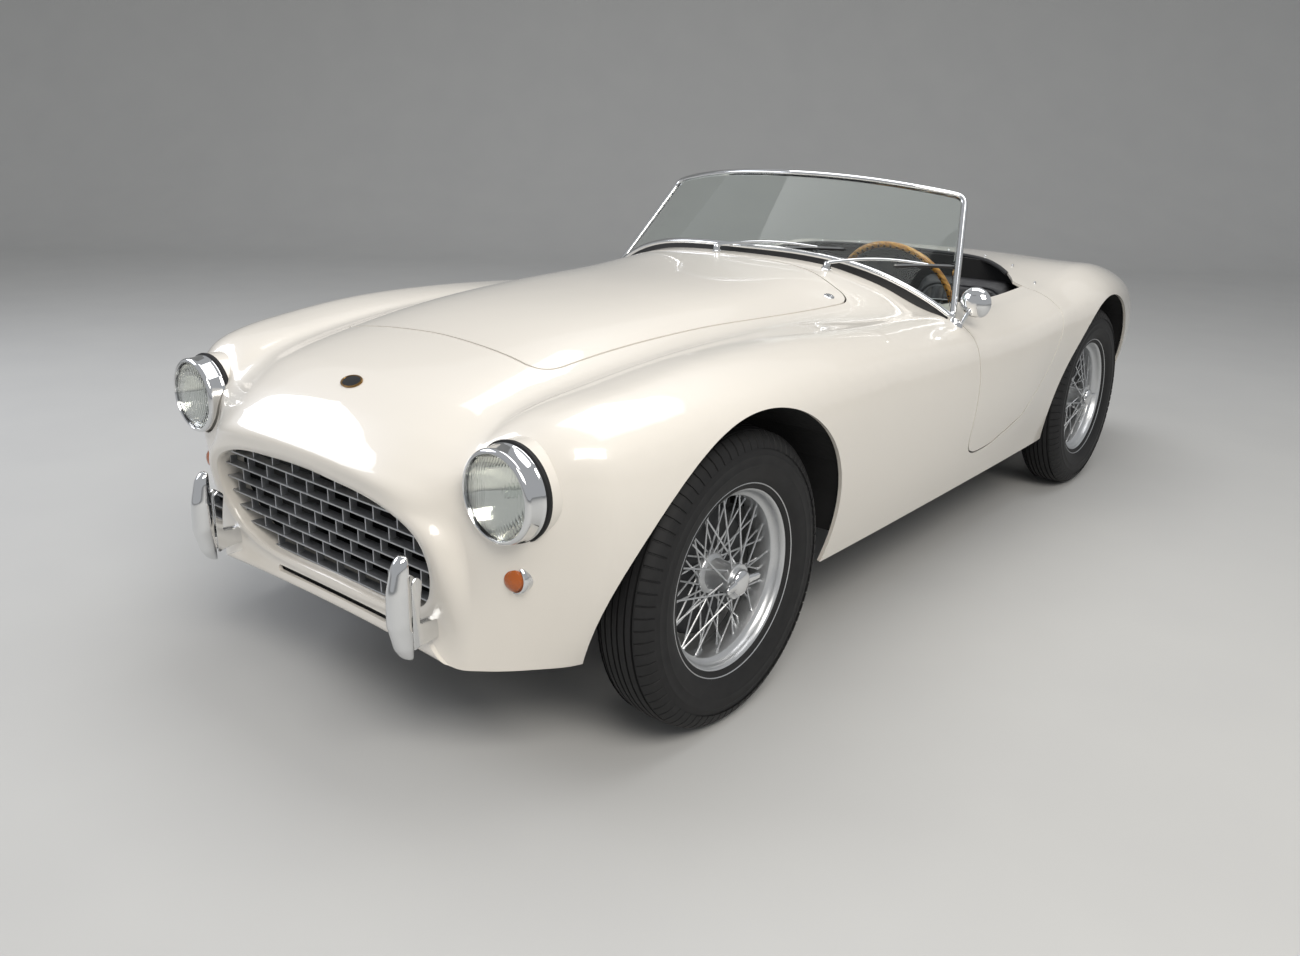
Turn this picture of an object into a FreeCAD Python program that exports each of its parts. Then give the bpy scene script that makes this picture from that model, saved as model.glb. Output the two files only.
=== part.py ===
import FreeCAD, Part
import math
import os

V = FreeCAD.Vector
ROT = FreeCAD.Rotation
PLACE = FreeCAD.Placement

# A two-seat open roadster of the early 1950s, left-hand drive, in millimetres.
# +X is the car's left side, -Y is forward, +Z is up. The origin is on the ground, under the middle
# of the overall length. Stations are distances behind the front axle.

doc = FreeCAD.newDocument("roadster")
sheet = doc.addObject("Spreadsheet::Sheet", "Sizes")

SIZES = (
    ("overall_length", 3848),
    ("wheelbase", 2286),
    ("front_overhang", 672),
    ("track_width", 1270),
    ("body_width", 1510),
    ("skin_thickness", 9),
    ("panel_gap", 5),
    ("door_thickness", 52),
    ("floor_thickness", 8),
    ("tyre_radius", 337),
    ("tyre_width", 146),
    ("rim_flange_radius", 220),
    ("rim_bead_radius", 204),
    ("rim_width", 114),
    ("hub_radius", 46),
    ("spoke_diameter", 6),
    ("drum_radius", 148),
    ("drum_width", 52),
    ("arch_radius", 392),
    ("chassis_tube_radius", 38),
    ("cross_tube_radius", 30),
    ("chassis_spread", 400),
    ("chassis_height", 232),
    ("king_pin_offset", 530),
    ("king_pin_radius", 20),
    ("stub_radius", 22),
    ("wishbone_radius", 13),
    ("rack_radius", 10),
    ("steering_wheel_radius", 200),
    ("steering_rim_thickness", 24),
    ("steering_column_radius", 20),
    ("headlamp_radius", 93),
    ("headlamp_depth", 48),
    ("indicator_radius", 33),
    ("hinge_pin_radius", 4.5),
    ("seat_width", 410),
    ("seat_spread", 680),
    ("exhaust_radius", 24),
    ("shaft_radius", 28),
    ("windscreen_frame_radius", 10),
    ("seating_clearance", 0.3),
)
for row, (name, value) in enumerate(SIZES, start=1):
    sheet.set("A%d" % row, name)
    sheet.set("B%d" % row, str(value))
    sheet.setAlias("B%d" % row, name)
doc.recompute()
size = {name: float(sheet.get(name)) for name, value in SIZES}

# Where the table's numbers were drawn, so that every piece follows a changed size
DRAWN_WHEELBASE = 2286.0
DRAWN_HALF_WIDTH = 755.0
DRAWN_AXLE_HEIGHT = 337.0
front_axle_y = -size["overall_length"] / 2 + size["front_overhang"]
rear_axle_y = front_axle_y + size["wheelbase"]
axle_height = size["tyre_radius"]
seat = size["seating_clearance"]
thick = size["skin_thickness"]
gap = size["panel_gap"]


def along(station):
    """y of a station, stretched only between the axles."""
    if station <= 0:
        return front_axle_y + station
    if station >= DRAWN_WHEELBASE:
        return rear_axle_y + station - DRAWN_WHEELBASE
    return front_axle_y + station * size["wheelbase"] / DRAWN_WHEELBASE


def across(x):
    return x * size["body_width"] / 2 / DRAWN_HALF_WIDTH


def up(z):
    return z - DRAWN_AXLE_HEIGHT + axle_height


def at(x, station, z):
    return V(across(x), along(station), up(z))


# Body sections, one row a station: half of a control polygon from the bonnet's crown to the edge of
# the sill. lead is how far the crown stands ahead of its station, on the nose.
SECTION_COLUMNS = ("station", "lead", "crown_x", "crown_z", "valley_x", "valley_z", "crest_in_x",
                   "crest_in_z", "crest_out_x", "crest_out_z", "belly_x", "belly_z", "flank_x",
                   "flank_z", "edge_x", "edge_z")
SECTIONS = (
    (-550, 62, 225, 640, 375, 618, 425, 575, 452, 520, 462, 460, 470, 340, 452, 257),
    (-515, 60, 235, 676, 395, 645, 470, 655, 562, 664, 600, 588, 528, 420, 494, 257),
    (-470, 52, 240, 716, 402, 684, 472, 724, 594, 738, 658, 665, 588, 430, 536, 257),
    (-397, 30, 250, 766, 412, 728, 480, 766, 625, 772, 716, 682, 670, 410, 590, 257),
    (-237, 0, 255, 818, 424, 762, 498, 792, 645, 798, 752, 700, 720, 410, 636, 257),
    (0, 0, 255, 862, 432, 788, 510, 815, 650, 820, 768, 720, 735, 420, 664, 257),
    (283, 0, 258, 886, 440, 806, 520, 820, 645, 820, 762, 720, 732, 430, 676, 257),
    (643, 0, 262, 900, 452, 826, 545, 806, 648, 800, 748, 710, 733, 430, 680, 255),
    (943, 0, 250, 922, 450, 862, 565, 800, 650, 782, 742, 700, 735, 430, 680, 253),
    (1183, 0, 240, 930, 440, 880, 575, 792, 650, 770, 740, 690, 735, 430, 680, 252),
    (1543, 0, 240, 900, 440, 870, 575, 775, 650, 752, 742, 680, 728, 430, 678, 250),
    (1903, 0, 240, 866, 440, 850, 560, 795, 655, 775, 756, 690, 706, 430, 672, 248),
    (2286, 0, 250, 850, 430, 835, 520, 828, 650, 828, 768, 720, 730, 450, 665, 258),
    (2643, 0, 250, 800, 420, 792, 510, 790, 620, 785, 715, 700, 705, 430, 640, 280),
    (2923, 0, 240, 712, 400, 706, 480, 710, 570, 705, 650, 630, 640, 420, 580, 300),
    (3073, 0, 230, 606, 380, 602, 450, 612, 530, 600, 588, 555, 580, 420, 540, 318),
    (3118, 0, 200, 514, 330, 511, 400, 512, 460, 500, 500, 478, 500, 400, 470, 345),
)
NOSE = SECTIONS[0][0]
TAIL = SECTIONS[-1][0]
SPLIT_FRONT = 1183
SPLIT_REAR = 1720
EXTRA_STATIONS = (-320, -120, 1060, SPLIT_REAR, 2090, 2470, 2790, 3005)
STATIONS = sorted([r[0] for r in SECTIONS] + list(EXTRA_STATIONS))
SILL_EDGE = 257


def section_row(station):
    """Table row at any station, by a smooth curve through the rows."""
    rows = SECTIONS
    if station <= rows[0][0]:
        return list(rows[0])
    if station >= rows[-1][0]:
        return list(rows[-1])
    k = max(i for i in range(len(rows)) if rows[i][0] <= station)
    a, b = rows[k], rows[k + 1]
    before, after = rows[max(k - 1, 0)], rows[min(k + 2, len(rows) - 1)]
    span = b[0] - a[0]
    t = (station - a[0]) / span
    out = []
    for c in range(len(a)):
        into = (b[c] - before[c]) / (b[0] - before[0]) * span
        out_of = (after[c] - a[c]) / (after[0] - a[0]) * span
        out.append((2 * t ** 3 - 3 * t ** 2 + 1) * a[c] + (t ** 3 - 2 * t ** 2 + t) * into
                   + (3 * t ** 2 - 2 * t ** 3) * b[c] + (t ** 3 - t ** 2) * out_of)
    out[0] = station
    return out


def section_points(station, steps=2):
    """Rounded section from the right sill edge over the crown to the left one."""
    row = section_row(station)
    lead = (row[1], row[1] / 2, 0, 0, 0, 0, 0)
    half = [at(row[2 + 2 * i], station - lead[i], row[3 + 2 * i]) for i in range(7)]
    net = [V(-p.x, p.y, p.z) for p in reversed(half)] + half
    points = [net[0]]
    for i in range(1, len(net) - 1):
        start = net[0] if i == 1 else (net[i - 1] + net[i]) * 0.5
        end = net[-1] if i == len(net) - 2 else (net[i] + net[i + 1]) * 0.5
        for k in range(1, steps + 1):
            t = k / steps
            points.append(start * (1 - t) ** 2 + net[i] * (2 * t * (1 - t)) + end * t * t)
    return points


# Solids of flat facets over grids of points
def facet(points):
    return Part.Face(Part.makePolygon(list(points) + [points[0]]))


def quad_facets(a, b, c, d):
    """Two triangles over four corners, split the mirrored way on the car's left side."""
    if a.x + b.x + c.x + d.x > 0:
        corners = ((a, b, c), (a, c, d))
    else:
        corners = ((a, b, d), (b, c, d))
    return [facet(t) for t in corners if (t[1] - t[0]).cross(t[2] - t[0]).Length > 1e-3]


def closed_solid(faces):
    shell = Part.makeShell(faces)
    shell.sewShape()
    solid = Part.makeSolid(shell)
    if solid.Volume < 0:
        solid.reverse()
    return solid


def grid_solid(grid, closed_rows=False):
    """Solid over rings of points: capped flat at its two ends, or closed on itself."""
    faces = []
    rows = len(grid)
    columns = len(grid[0])
    for i in range(rows if closed_rows else rows - 1):
        after = grid[(i + 1) % rows]
        for j in range(columns):
            beside = (j + 1) % columns
            faces += quad_facets(grid[i][j], after[j], after[beside], grid[i][beside])
    if not closed_rows:
        faces.append(facet(grid[0]))
        faces.append(facet(grid[-1]))
    return closed_solid(faces)


def wall_solid(outer, inner):
    """Solid between two open grids of the same size, with strips along all four edges."""
    faces = []
    rows = len(outer)
    columns = len(outer[0])
    for grid in (outer, inner):
        for i in range(rows - 1):
            for j in range(columns - 1):
                faces += quad_facets(grid[i][j], grid[i + 1][j], grid[i + 1][j + 1], grid[i][j + 1])
    for i in (0, rows - 1):
        for j in range(columns - 1):
            faces += quad_facets(outer[i][j], outer[i][j + 1], inner[i][j + 1], inner[i][j])
    for j in (0, columns - 1):
        for i in range(rows - 1):
            faces += quad_facets(outer[i][j], outer[i + 1][j], inner[i + 1][j], inner[i][j])
    return closed_solid(faces)


def surface_line(station, depth):
    """The body's section at a depth below its outside."""
    line = section_points(station)
    if depth == 0:
        return line
    step = 4
    ahead = section_points(max(NOSE, station - step))
    behind = section_points(min(TAIL, station + step))
    moved = []
    for j, p in enumerate(line):
        left = line[min(j + 1, len(line) - 1)]
        right = line[max(j - 1, 0)]
        normal = (behind[j] - ahead[j]).cross(left - right)
        normal.normalize()
        moved.append(p + normal * depth)
    return moved


def station_list(first, last):
    return [first] + [s for s in STATIONS if first < s < last] + [last]


def surface_grid(stations, depth):
    return [surface_line(s, depth) for s in stations]


def facet_line(station, depth):
    """The skin's own flat facets cut at any station."""
    ahead = max(s for s in STATIONS if s <= station)
    behind = min(s for s in STATIONS if s > station)
    t = (station - ahead) / (behind - ahead)
    return [p + (q - p) * t for p, q in zip(surface_line(ahead, depth), surface_line(behind, depth))]


def top_height(x, station, depth):
    """Height of the skin over a point in plan, on the car's left half."""
    line = facet_line(station, depth)
    half = line[len(line) // 2:]
    for p, q in zip(half, half[1:]):
        if x <= q.x:
            return p.z + (q.z - p.z) * (x - p.x) / (q.x - p.x)
    return half[-1].z


def flank_width(z, station, depth):
    """Half width of the skin at a height, from the sill's edge up to the wing."""
    line = facet_line(station, depth)
    for p, q in zip(reversed(line), reversed(line[:-1])):
        if p.z <= z <= q.z:
            return p.x + (q.x - p.x) * (z - p.z) / (q.z - p.z)
    return line[-1].x


def skin(first, last, outer_depth, inner_depth):
    """Part of the body's skin between two stations and two depths."""
    stations = station_list(first, last)
    return wall_solid(surface_grid(stations, outer_depth), surface_grid(stations, inner_depth))


def core(first, last, depth, drop=60):
    """Whole inside of the body below a depth, used to cut pieces to the skin."""
    low = up(SILL_EDGE) - drop
    rings = []
    for line in surface_grid(station_list(first, last), depth):
        rings.append([V(line[0].x, line[0].y, low)] + line + [V(line[-1].x, line[-1].y, low)])
    rings[0] = [V(p.x, along(first), p.z) for p in rings[0]]
    rings[-1] = [V(p.x, along(last), p.z) for p in rings[-1]]
    return grid_solid(rings)


def plan_prism(outline, low, high):
    """Upright prism over an outline of (x, station) points."""
    face = Part.Face(Part.makePolygon([at(x, s, low) for x, s in outline + outline[:1]]))
    return face.extrude(V(0, 0, high - low))


def rounded(points, radius, steps=3):
    """Outline with its corners rounded."""
    out = []
    n = len(points)
    for i, p in enumerate(points):
        a = points[i - 1]
        c = points[(i + 1) % n]
        for_a = min(radius, math.dist(a, p) * 0.45) / math.dist(a, p)
        for_c = min(radius, math.dist(c, p) * 0.45) / math.dist(c, p)
        start = (p[0] + (a[0] - p[0]) * for_a, p[1] + (a[1] - p[1]) * for_a)
        end = (p[0] + (c[0] - p[0]) * for_c, p[1] + (c[1] - p[1]) * for_c)
        for k in range(steps + 1):
            t = k / steps
            out.append(tuple(start[m] * (1 - t) ** 2 + p[m] * 2 * t * (1 - t) + end[m] * t * t
                             for m in (0, 1)))
    return out


def grown(points, by):
    """Outline moved outwards by a gap."""
    area = sum(points[i - 1][0] * p[1] - p[0] * points[i - 1][1] for i, p in enumerate(points))
    side = 1 if area > 0 else -1
    out = []
    n = len(points)
    for i, p in enumerate(points):
        a, c = points[i - 1], points[(i + 1) % n]
        d1 = (p[0] - a[0], p[1] - a[1])
        d2 = (c[0] - p[0], c[1] - p[1])
        l1, l2 = math.hypot(*d1), math.hypot(*d2)
        n1 = (d1[1] / l1 * side, -d1[0] / l1 * side)
        n2 = (d2[1] / l2 * side, -d2[0] / l2 * side)
        mx, mz = n1[0] + n2[0], n1[1] + n2[1]
        length = math.hypot(mx, mz)
        scale = by / (length / 2) / length
        out.append((p[0] + mx * scale, p[1] + mz * scale))
    return out


def rod(points, radius, sides=6, closed=False, turn=0.0):
    """Faceted round bar along a run of points, or round a closed loop of them."""
    rings = []
    count = len(points)
    for i, p in enumerate(points):
        if closed:
            a, c = points[i - 1], points[(i + 1) % count]
        else:
            a, c = points[max(i - 1, 0)], points[min(i + 1, count - 1)]
        ahead = (c - a).normalize()
        side = ahead.cross(V(0, 0, 1)) if abs(ahead.z) < 0.9 else ahead.cross(V(0, 1, 0))
        side.normalize()
        over = side.cross(ahead)
        rings.append([p + side * (radius * math.cos(2 * math.pi * k / sides + turn))
                      + over * (radius * math.sin(2 * math.pi * k / sides + turn)) for k in range(sides)])
    return grid_solid(rings, closed_rows=closed)


def turned_rings(profile, centre, axis, sides):
    axis = V(axis).normalize()
    side = axis.cross(V(0, 0, 1)) if abs(axis.z) < 0.9 else V(1, 0, 0)
    side.normalize()
    over = axis.cross(side)
    lift = 1 / math.cos(math.pi / sides)
    rings = []
    for k in range(sides):
        angle = 2 * math.pi * (k + 0.5) / sides
        out = side * math.cos(angle) + over * math.sin(angle)
        rings.append([centre + axis * a + out * (r * lift) for a, r in profile])
    return rings


def turned(profile, centre, axis, sides):
    """Faceted ring; the profile is a closed outline of (distance along, radius over the flats)."""
    return grid_solid(turned_rings(profile, centre, axis, sides), closed_rows=True)


def spun(profile, centre, axis, sides):
    """Faceted solid of revolution closed by flat ends; the profile runs from end to end."""
    rings = turned_rings(profile, centre, axis, sides)
    return grid_solid([[ring[i] for ring in rings] for i in range(len(profile))])


def mirrored(shape):
    return shape.mirror(V(0, 0, 0), V(1, 0, 0))


def both_sides(shape):
    return Part.makeCompound([shape, mirrored(shape)])


def nearest(shape, point):
    """The one solid of a cut shape whose middle lies nearest to a point."""
    return min(shape.Solids, key=lambda q: (q.CenterOfMass - point).Length)


parts = []


def add_shape(label, shape):
    piece = doc.addObject("Part::Feature", label)
    piece.Label = label
    piece.Shape = shape
    parts.append(piece)
    return piece


def bound(piece, cells):
    """Ties the sizes of a primitive to cells of the sheet or to expressions with them."""
    for prop, expression in cells.items():
        piece.setExpression(prop, expression)
    return piece


def cylinder(name, radius, length, base, direction):
    """Round bar whose radius is an expression with the sheet's cells."""
    piece = bound(doc.addObject("Part::Cylinder", name), {"Radius": radius})
    piece.Height = length
    piece.Placement = PLACE(base, ROT(V(0, 0, 1), V(direction)))
    return piece


BAR_SIDES = 10


def bar(name, radius, length, base, direction):
    """Ten-sided bar whose corner radius is an expression with the sheet's cells."""
    piece = bound(doc.addObject("Part::Prism", name), {"Circumradius": radius})
    piece.Polygon = BAR_SIDES
    piece.Height = length
    piece.Placement = PLACE(base, ROT(V(0, 0, 1), V(direction)))
    return piece


def block(name, x, station, z, width, length, height):
    """Box from its middle in X, its front station and its underside."""
    piece = doc.addObject("Part::Box", name)
    piece.Length = width
    piece.Width = length
    piece.Height = height
    piece.Placement = PLACE(V(across(x) - width / 2, along(station), up(z)), ROT())
    return piece


def fused(label, pieces):
    whole = doc.addObject("Part::MultiFuse", label)
    whole.Label = label
    whole.Shapes = pieces
    parts.append(whole)
    return whole


# Outlines on the body, drawn in plan or in side view
BONNET = rounded([(352, -250), (395, 250), (478, 815), (300, 872), (0, 885), (-300, 872), (-478, 815),
                  (-395, 250), (-352, -250), (0, -228)], 60, 2)
BOOT_LID = rounded([(395, 2250), (400, 2560), (340, 2820), (0, 2880), (-340, 2820), (-400, 2560),
                    (-395, 2250), (0, 2225)], 70, 2)
COCKPIT = rounded([(560, 1120), (585, 1480), (555, 1830), (340, 2010), (0, 2040), (-340, 2010),
                   (-555, 1830), (-585, 1480), (-560, 1120), (0, 1010)], 90, 2)
DOOR = [(1143, 900), (1143, 440), (1162, 385), (1215, 362), (1330, 362), (1579, 412), (1726, 527),
        (1820, 676), (1850, 745), (1850, 900)]
DOOR_SHEAR = 0.14
DOOR_BOX_INSET = 18
DOOR_INNER = 575

# Mouth of the grille, seen from the front, and how its plane leans forward at the top
MOUTH = rounded([(388, 458), (354, 368), (250, 320), (-250, 320), (-354, 368), (-388, 458), (-366, 534),
                 (-250, 578), (0, 594), (250, 578), (366, 534)], 60, 2)
MOUTH_MIDDLE = 452
MOUTH_LOW = 318
MOUTH_HIGH = 590
MOUTH_STATION = -552
MOUTH_LEAN = 0.2
DUCT_DEPTH = 58
DUCT_TAPER = 6
SLOT_HALF = 195
SLOT_HEIGHT = 12


def mouth_reach(angle):
    """Distance from the mouth's middle to its edge in one direction."""
    c, s = math.cos(angle), math.sin(angle)
    corners = [(across(x), up(z) - up(MOUTH_MIDDLE)) for x, z in MOUTH]
    for i, (bx, bz) in enumerate(corners):
        ax, az = corners[i - 1]
        det = (bx - ax) * s - (bz - az) * c
        if abs(det) < 1e-9:
            continue
        reach = (ax * (bz - az) - az * (bx - ax)) / det
        share = (az * c - ax * s) / det
        if reach > 0 and -1e-6 <= share <= 1 + 1e-6:
            return reach
    raise RuntimeError("the mouth isn't closed")


front_edge = surface_line(NOSE, 0)
chin = [front_edge[-1] + (front_edge[0] - front_edge[-1]) * (k / 8) for k in range(1, 8)]
nose_loop = front_edge + chin


def mouth_ring(wider, deeper):
    """Ring of points parallel to the mouth's edge, as far round as the nose's own points."""
    points = []
    for p in nose_loop:
        angle = math.atan2(p.z - up(MOUTH_MIDDLE), p.x)
        reach = mouth_reach(angle) + wider
        z = up(MOUTH_MIDDLE) + reach * math.sin(angle)
        points.append(V(reach * math.cos(angle), along(MOUTH_STATION) - (z - up(MOUTH_LOW)) * MOUTH_LEAN
                        + deeper, z))
    return points


inner_edge = surface_line(NOSE, thick)
inner_chin = [inner_edge[-1] + (inner_edge[0] - inner_edge[-1]) * (k / 8) + V(0, 0, thick)
              for k in range(1, 8)]
nose = grid_solid([nose_loop, mouth_ring(22, -8), mouth_ring(6, -8), mouth_ring(0, 2),
                   mouth_ring(-DUCT_TAPER, DUCT_DEPTH), mouth_ring(4, DUCT_DEPTH), mouth_ring(10, 10),
                   inner_edge + inner_chin], closed_rows=True)

# Cutters for the panels, the wheel arches and the headlamps
door_sweep = V(across(500) - across(780), (500 - 780) * DOOR_SHEAR, 0)


def door_prism(outline):
    face = Part.Face(Part.makePolygon([at(780, s, z) for s, z in outline + outline[:1]]))
    return face.extrude(door_sweep)


bonnet_hole = plan_prism(grown(BONNET, gap), 560, 1000)
boot_hole = plan_prism(grown(BOOT_LID, gap), 560, 1000)
cockpit_hole = plan_prism(COCKPIT, 500, 1100)
door_hole = door_prism(grown(DOOR, gap))
ARCH_SIDES = 30
arches = []
for axle_y in (front_axle_y, rear_axle_y):
    arches.append(spun([(-1000, size["arch_radius"]), (1000, size["arch_radius"])], V(0, axle_y, axle_height),
                       (1, 0, 0), ARCH_SIDES))
LAMP_X = 538
LAMP_Z = 636
LAMP_FACE = -509
LAMP_COLLAR = 3
LAMP_SIDES = 16
lamp_radius = size["headlamp_radius"]
lamp_front = at(LAMP_X, LAMP_FACE, LAMP_Z)
collar_radius = lamp_radius + LAMP_COLLAR
collar = turned([(0, lamp_radius - 10), (0, collar_radius), (70, collar_radius), (70, lamp_radius - 10)],
                lamp_front, (0, 1, 0), LAMP_SIDES)
lamp_hole = spun([(-150, lamp_radius + 2), (0, lamp_radius + 2), (0, lamp_radius - 10),
                  (70, lamp_radius - 10)], lamp_front, (0, 1, 0), LAMP_SIDES)

# Front body: nose, wings and scuttle in one, then the sills below the doors, and the tail
front = skin(NOSE, SPLIT_FRONT, 0, thick).fuse([nose, collar, mirrored(collar)])
front = front.cut([bonnet_hole, arches[0], cockpit_hole, lamp_hole, mirrored(lamp_hole), door_hole,
                   mirrored(door_hole),
                   Part.makeBox(2 * SLOT_HALF, 90, SLOT_HEIGHT, V(-SLOT_HALF, along(-600), up(292)))])
front = Part.makeSolid(max(front.Shells, key=lambda q: len(q.Faces)))
add_shape("front_body", front)

sill = skin(SPLIT_FRONT, SPLIT_REAR, 0, thick).cut([door_hole, mirrored(door_hole), cockpit_hole])
add_shape("sills", Part.makeCompound([q for q in sill.Solids if q.BoundBox.ZMax < up(700)]))

rear = skin(SPLIT_REAR, TAIL, 0, thick)
tail_face = Part.Face(Part.makePolygon(surface_line(TAIL, 0) + surface_line(TAIL, 0)[:1]))
rear = rear.fuse(tail_face.extrude(V(0, thick, 0)))
rear = rear.cut([door_hole, mirrored(door_hole), cockpit_hole, arches[1], boot_hole])
rear = Part.makeSolid(max(rear.Shells, key=lambda q: len(q.Faces)))
add_shape("rear_body", rear)

# Gooseneck hinges of the bonnet and the boot lid. The pin lies just under the panel ahead of the
# opening, and the arm hangs below it so that the panel's edge stays clear when the lid is open.
PIN_BELOW = 13
ARM_HALF_WIDE = 5
ARM_HALF_THICK = 5
PIN_HALF = 17
pin_radius = size["hinge_pin_radius"]


def hinge_pin(x, station):
    return V(x, along(station), top_height(x, station, thick) - PIN_BELOW)


def strap(points):
    """Flat arm along a run of points in one upright plane."""
    upper = []
    lower = []
    for i, p in enumerate(points):
        ahead = (points[min(i + 1, len(points) - 1)] - points[max(i - 1, 0)]).normalize()
        side = V(-ARM_HALF_THICK, -ahead.z * ARM_HALF_WIDE, ahead.y * ARM_HALF_WIDE)
        upper.append(p + side)
        lower.append(p + V(side.x, -side.y, -side.z))
    return facet(upper + lower[::-1]).extrude(V(2 * ARM_HALF_THICK, 0, 0))


def gooseneck(x, station, lid_station, opening, below):
    """Arm from an eye round the pin, down and back, up to the inside of the lid."""
    pin = hinge_pin(x, station)
    first = math.radians(-opening - 6)
    second = math.radians(-opening + 38)
    knee = pin + V(0, 101 * math.cos(first), 101 * math.sin(first))
    bend = pin + V(0, 119 * math.cos(second), 119 * math.sin(second))
    lid = V(x, along(lid_station), top_height(x, lid_station, thick) - below)
    start = pin + (knee - pin).normalize() * (pin_radius + 5)
    eye = turned([(-ARM_HALF_THICK, pin_radius + seat), (-ARM_HALF_THICK, pin_radius + 6),
                  (ARM_HALF_THICK, pin_radius + 6), (ARM_HALF_THICK, pin_radius + seat)],
                 pin, (1, 0, 0), 10)
    return strap([start, knee, bend, lid]).fuse(eye)


def pin_bracket(x, station, body):
    pin = hinge_pin(x, station)
    shape = rod([pin - V(PIN_HALF, 0, 0), pin + V(PIN_HALF, 0, 0)], pin_radius, 8)
    shape = shape.fuse([Part.makeBox(6, 16, 50, V(pin.x + x, pin.y - 8, pin.z - 8)) for x in (-14, 8)])
    return nearest(shape.cut(body), pin)


BONNET_PIN = (-330, -200, 55, 4.1)
BOOT_PIN = (2145, 2275, 65, 2.3)
BONNET_HINGE_X = 262
BOOT_HINGE_X = 250
bonnet_arm = gooseneck(BONNET_HINGE_X, *BONNET_PIN)
bonnet = skin(-320, 943, 0, thick).common(plan_prism(BONNET, 560, 1000))
add_shape("bonnet", Part.makeCompound(bonnet.Solids + [bonnet_arm, mirrored(bonnet_arm)]))
boot_arm = gooseneck(BOOT_HINGE_X, *BOOT_PIN)
boot = skin(2090, TAIL, 0, thick).common(plan_prism(BOOT_LID, 560, 1000))
add_shape("boot_lid", Part.makeCompound(boot.Solids + [boot_arm, mirrored(boot_arm)]))
add_shape("bonnet_hinge_pins", both_sides(pin_bracket(BONNET_HINGE_X, BONNET_PIN[0], front)))
add_shape("boot_hinge_pins", both_sides(pin_bracket(BOOT_HINGE_X, BOOT_PIN[0], rear)))

# Doors: the outer skin carries the whole outline, the box behind it is smaller all round, and a
# latch tongue at its rear rests on the striker
LATCH_X = 701
LATCH_Z = 640
TONGUE = (1740, 1778)
door_skin = skin(1060, 1903, 0, thick).common(door_prism(DOOR))
door_core = skin(1060, 1903, thick - 1, size["door_thickness"])
door_core = door_core.common(door_prism(grown(DOOR, -DOOR_BOX_INSET)))
waist = Part.makeBox(400, 1200, 600, at(DOOR_INNER, 1000, 300))
tongue = Part.makeBox(20, along(TONGUE[1]) - along(TONGUE[0]), 12, at(LATCH_X - 10, TONGUE[0], LATCH_Z))
tongue.translate(V(0, 0, seat))
door = door_skin.fuse([door_core, tongue]).common(waist)
add_shape("door_left", door)
add_shape("door_right", mirrored(door))

# Steering column line, needed by the bulkhead and the dashboard
WHEEL_X, WHEEL_STATION, WHEEL_Z = 350, 1338, 777
TILT = math.radians(25)
column_axis = V(0, math.cos(TILT), math.sin(TILT))
wheel_centre = at(WHEEL_X, WHEEL_STATION, WHEEL_Z)
column_radius = size["steering_column_radius"]
column_hole = Part.makeCylinder(column_radius + seat, 620, wheel_centre - column_axis * 650, column_axis)
column_room = spun([(-620, column_radius + seat), (0, column_radius + seat)], wheel_centre, column_axis, 12)

# Floor: pan on the chassis tubes, tunnel, bulkheads, boot floor, and posts for hinge and latch, all
# cut to the inside of the skin
sheet_metal = size["floor_thickness"]
floor_z = size["chassis_height"] + size["chassis_tube_radius"] + seat
PAN = (850, 1990)
TUNNEL_HALF = 130
TUNNEL_TOP = 442
BOOT_FLOOR_Z = 490
BOOT_END = 3045
LINER_X = 390
LINER_THICKNESS = 5
LINER_STEPS = 12
REAR_ARCH_REACH = 412
POST_X = 655
POSTS = ((1096, 1122, 700), (1820, 1850, 655))
BULKHEAD_TOP = 1000
BOOT_BACK_LOW = 380
BOOT_BACK_THICKNESS = 8
beyond_skin = across(800)
liner_radius = size["arch_radius"] + 8
liner_outer = liner_radius + LINER_THICKNESS + seat


def slab(x0, x1, first, last, low, high):
    """Box between two x, two stations and two heights."""
    return Part.makeBox(x1 - x0, along(last) - along(first), high - low, V(x0, along(first), low))


pan_top = floor_z + sheet_metal
inside = core(600, TAIL, thick + seat, 10)
pan = slab(-beyond_skin, beyond_skin, PAN[0], PAN[1], floor_z, pan_top)
tunnel = slab(-TUNNEL_HALF, TUNNEL_HALF, PAN[0], PAN[1], floor_z, up(TUNNEL_TOP))
tunnel_inside = slab(-TUNNEL_HALF + sheet_metal, TUNNEL_HALF - sheet_metal, PAN[0] - 20, PAN[1] + 20,
                     floor_z - 5, up(TUNNEL_TOP) - sheet_metal)
bulkhead = slab(-beyond_skin, beyond_skin, PAN[0], PAN[0] + sheet_metal, floor_z, up(BULKHEAD_TOP))
back = slab(-beyond_skin, beyond_skin, PAN[1] - sheet_metal, PAN[1], floor_z, up(BULKHEAD_TOP))
boot_floor = slab(-across(LINER_X) + seat, across(LINER_X) - seat, PAN[1], BOOT_END, up(BOOT_FLOOR_Z),
                  up(BOOT_FLOOR_Z) + sheet_metal)
boot_wings = slab(-beyond_skin, beyond_skin, DRAWN_WHEELBASE + REAR_ARCH_REACH, BOOT_END, up(BOOT_FLOOR_Z),
                  up(BOOT_FLOOR_Z) + sheet_metal)
boot_back = slab(-beyond_skin, beyond_skin, BOOT_END - BOOT_BACK_THICKNESS, BOOT_END, up(BOOT_BACK_LOW),
                 up(BOOT_FLOOR_Z) + sheet_metal)
posts = []
for first, last, top in POSTS:
    posts.append(slab(across(POST_X), beyond_skin, first, last, floor_z, up(top)))
striker = slab(across(LATCH_X - 16), across(LATCH_X + 14), TONGUE[1] - 10, 1825, up(LATCH_Z - 12),
               up(LATCH_Z))
posts.append(striker)
sheets = [tunnel, bulkhead, back, boot_floor, boot_wings, boot_back]
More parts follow.
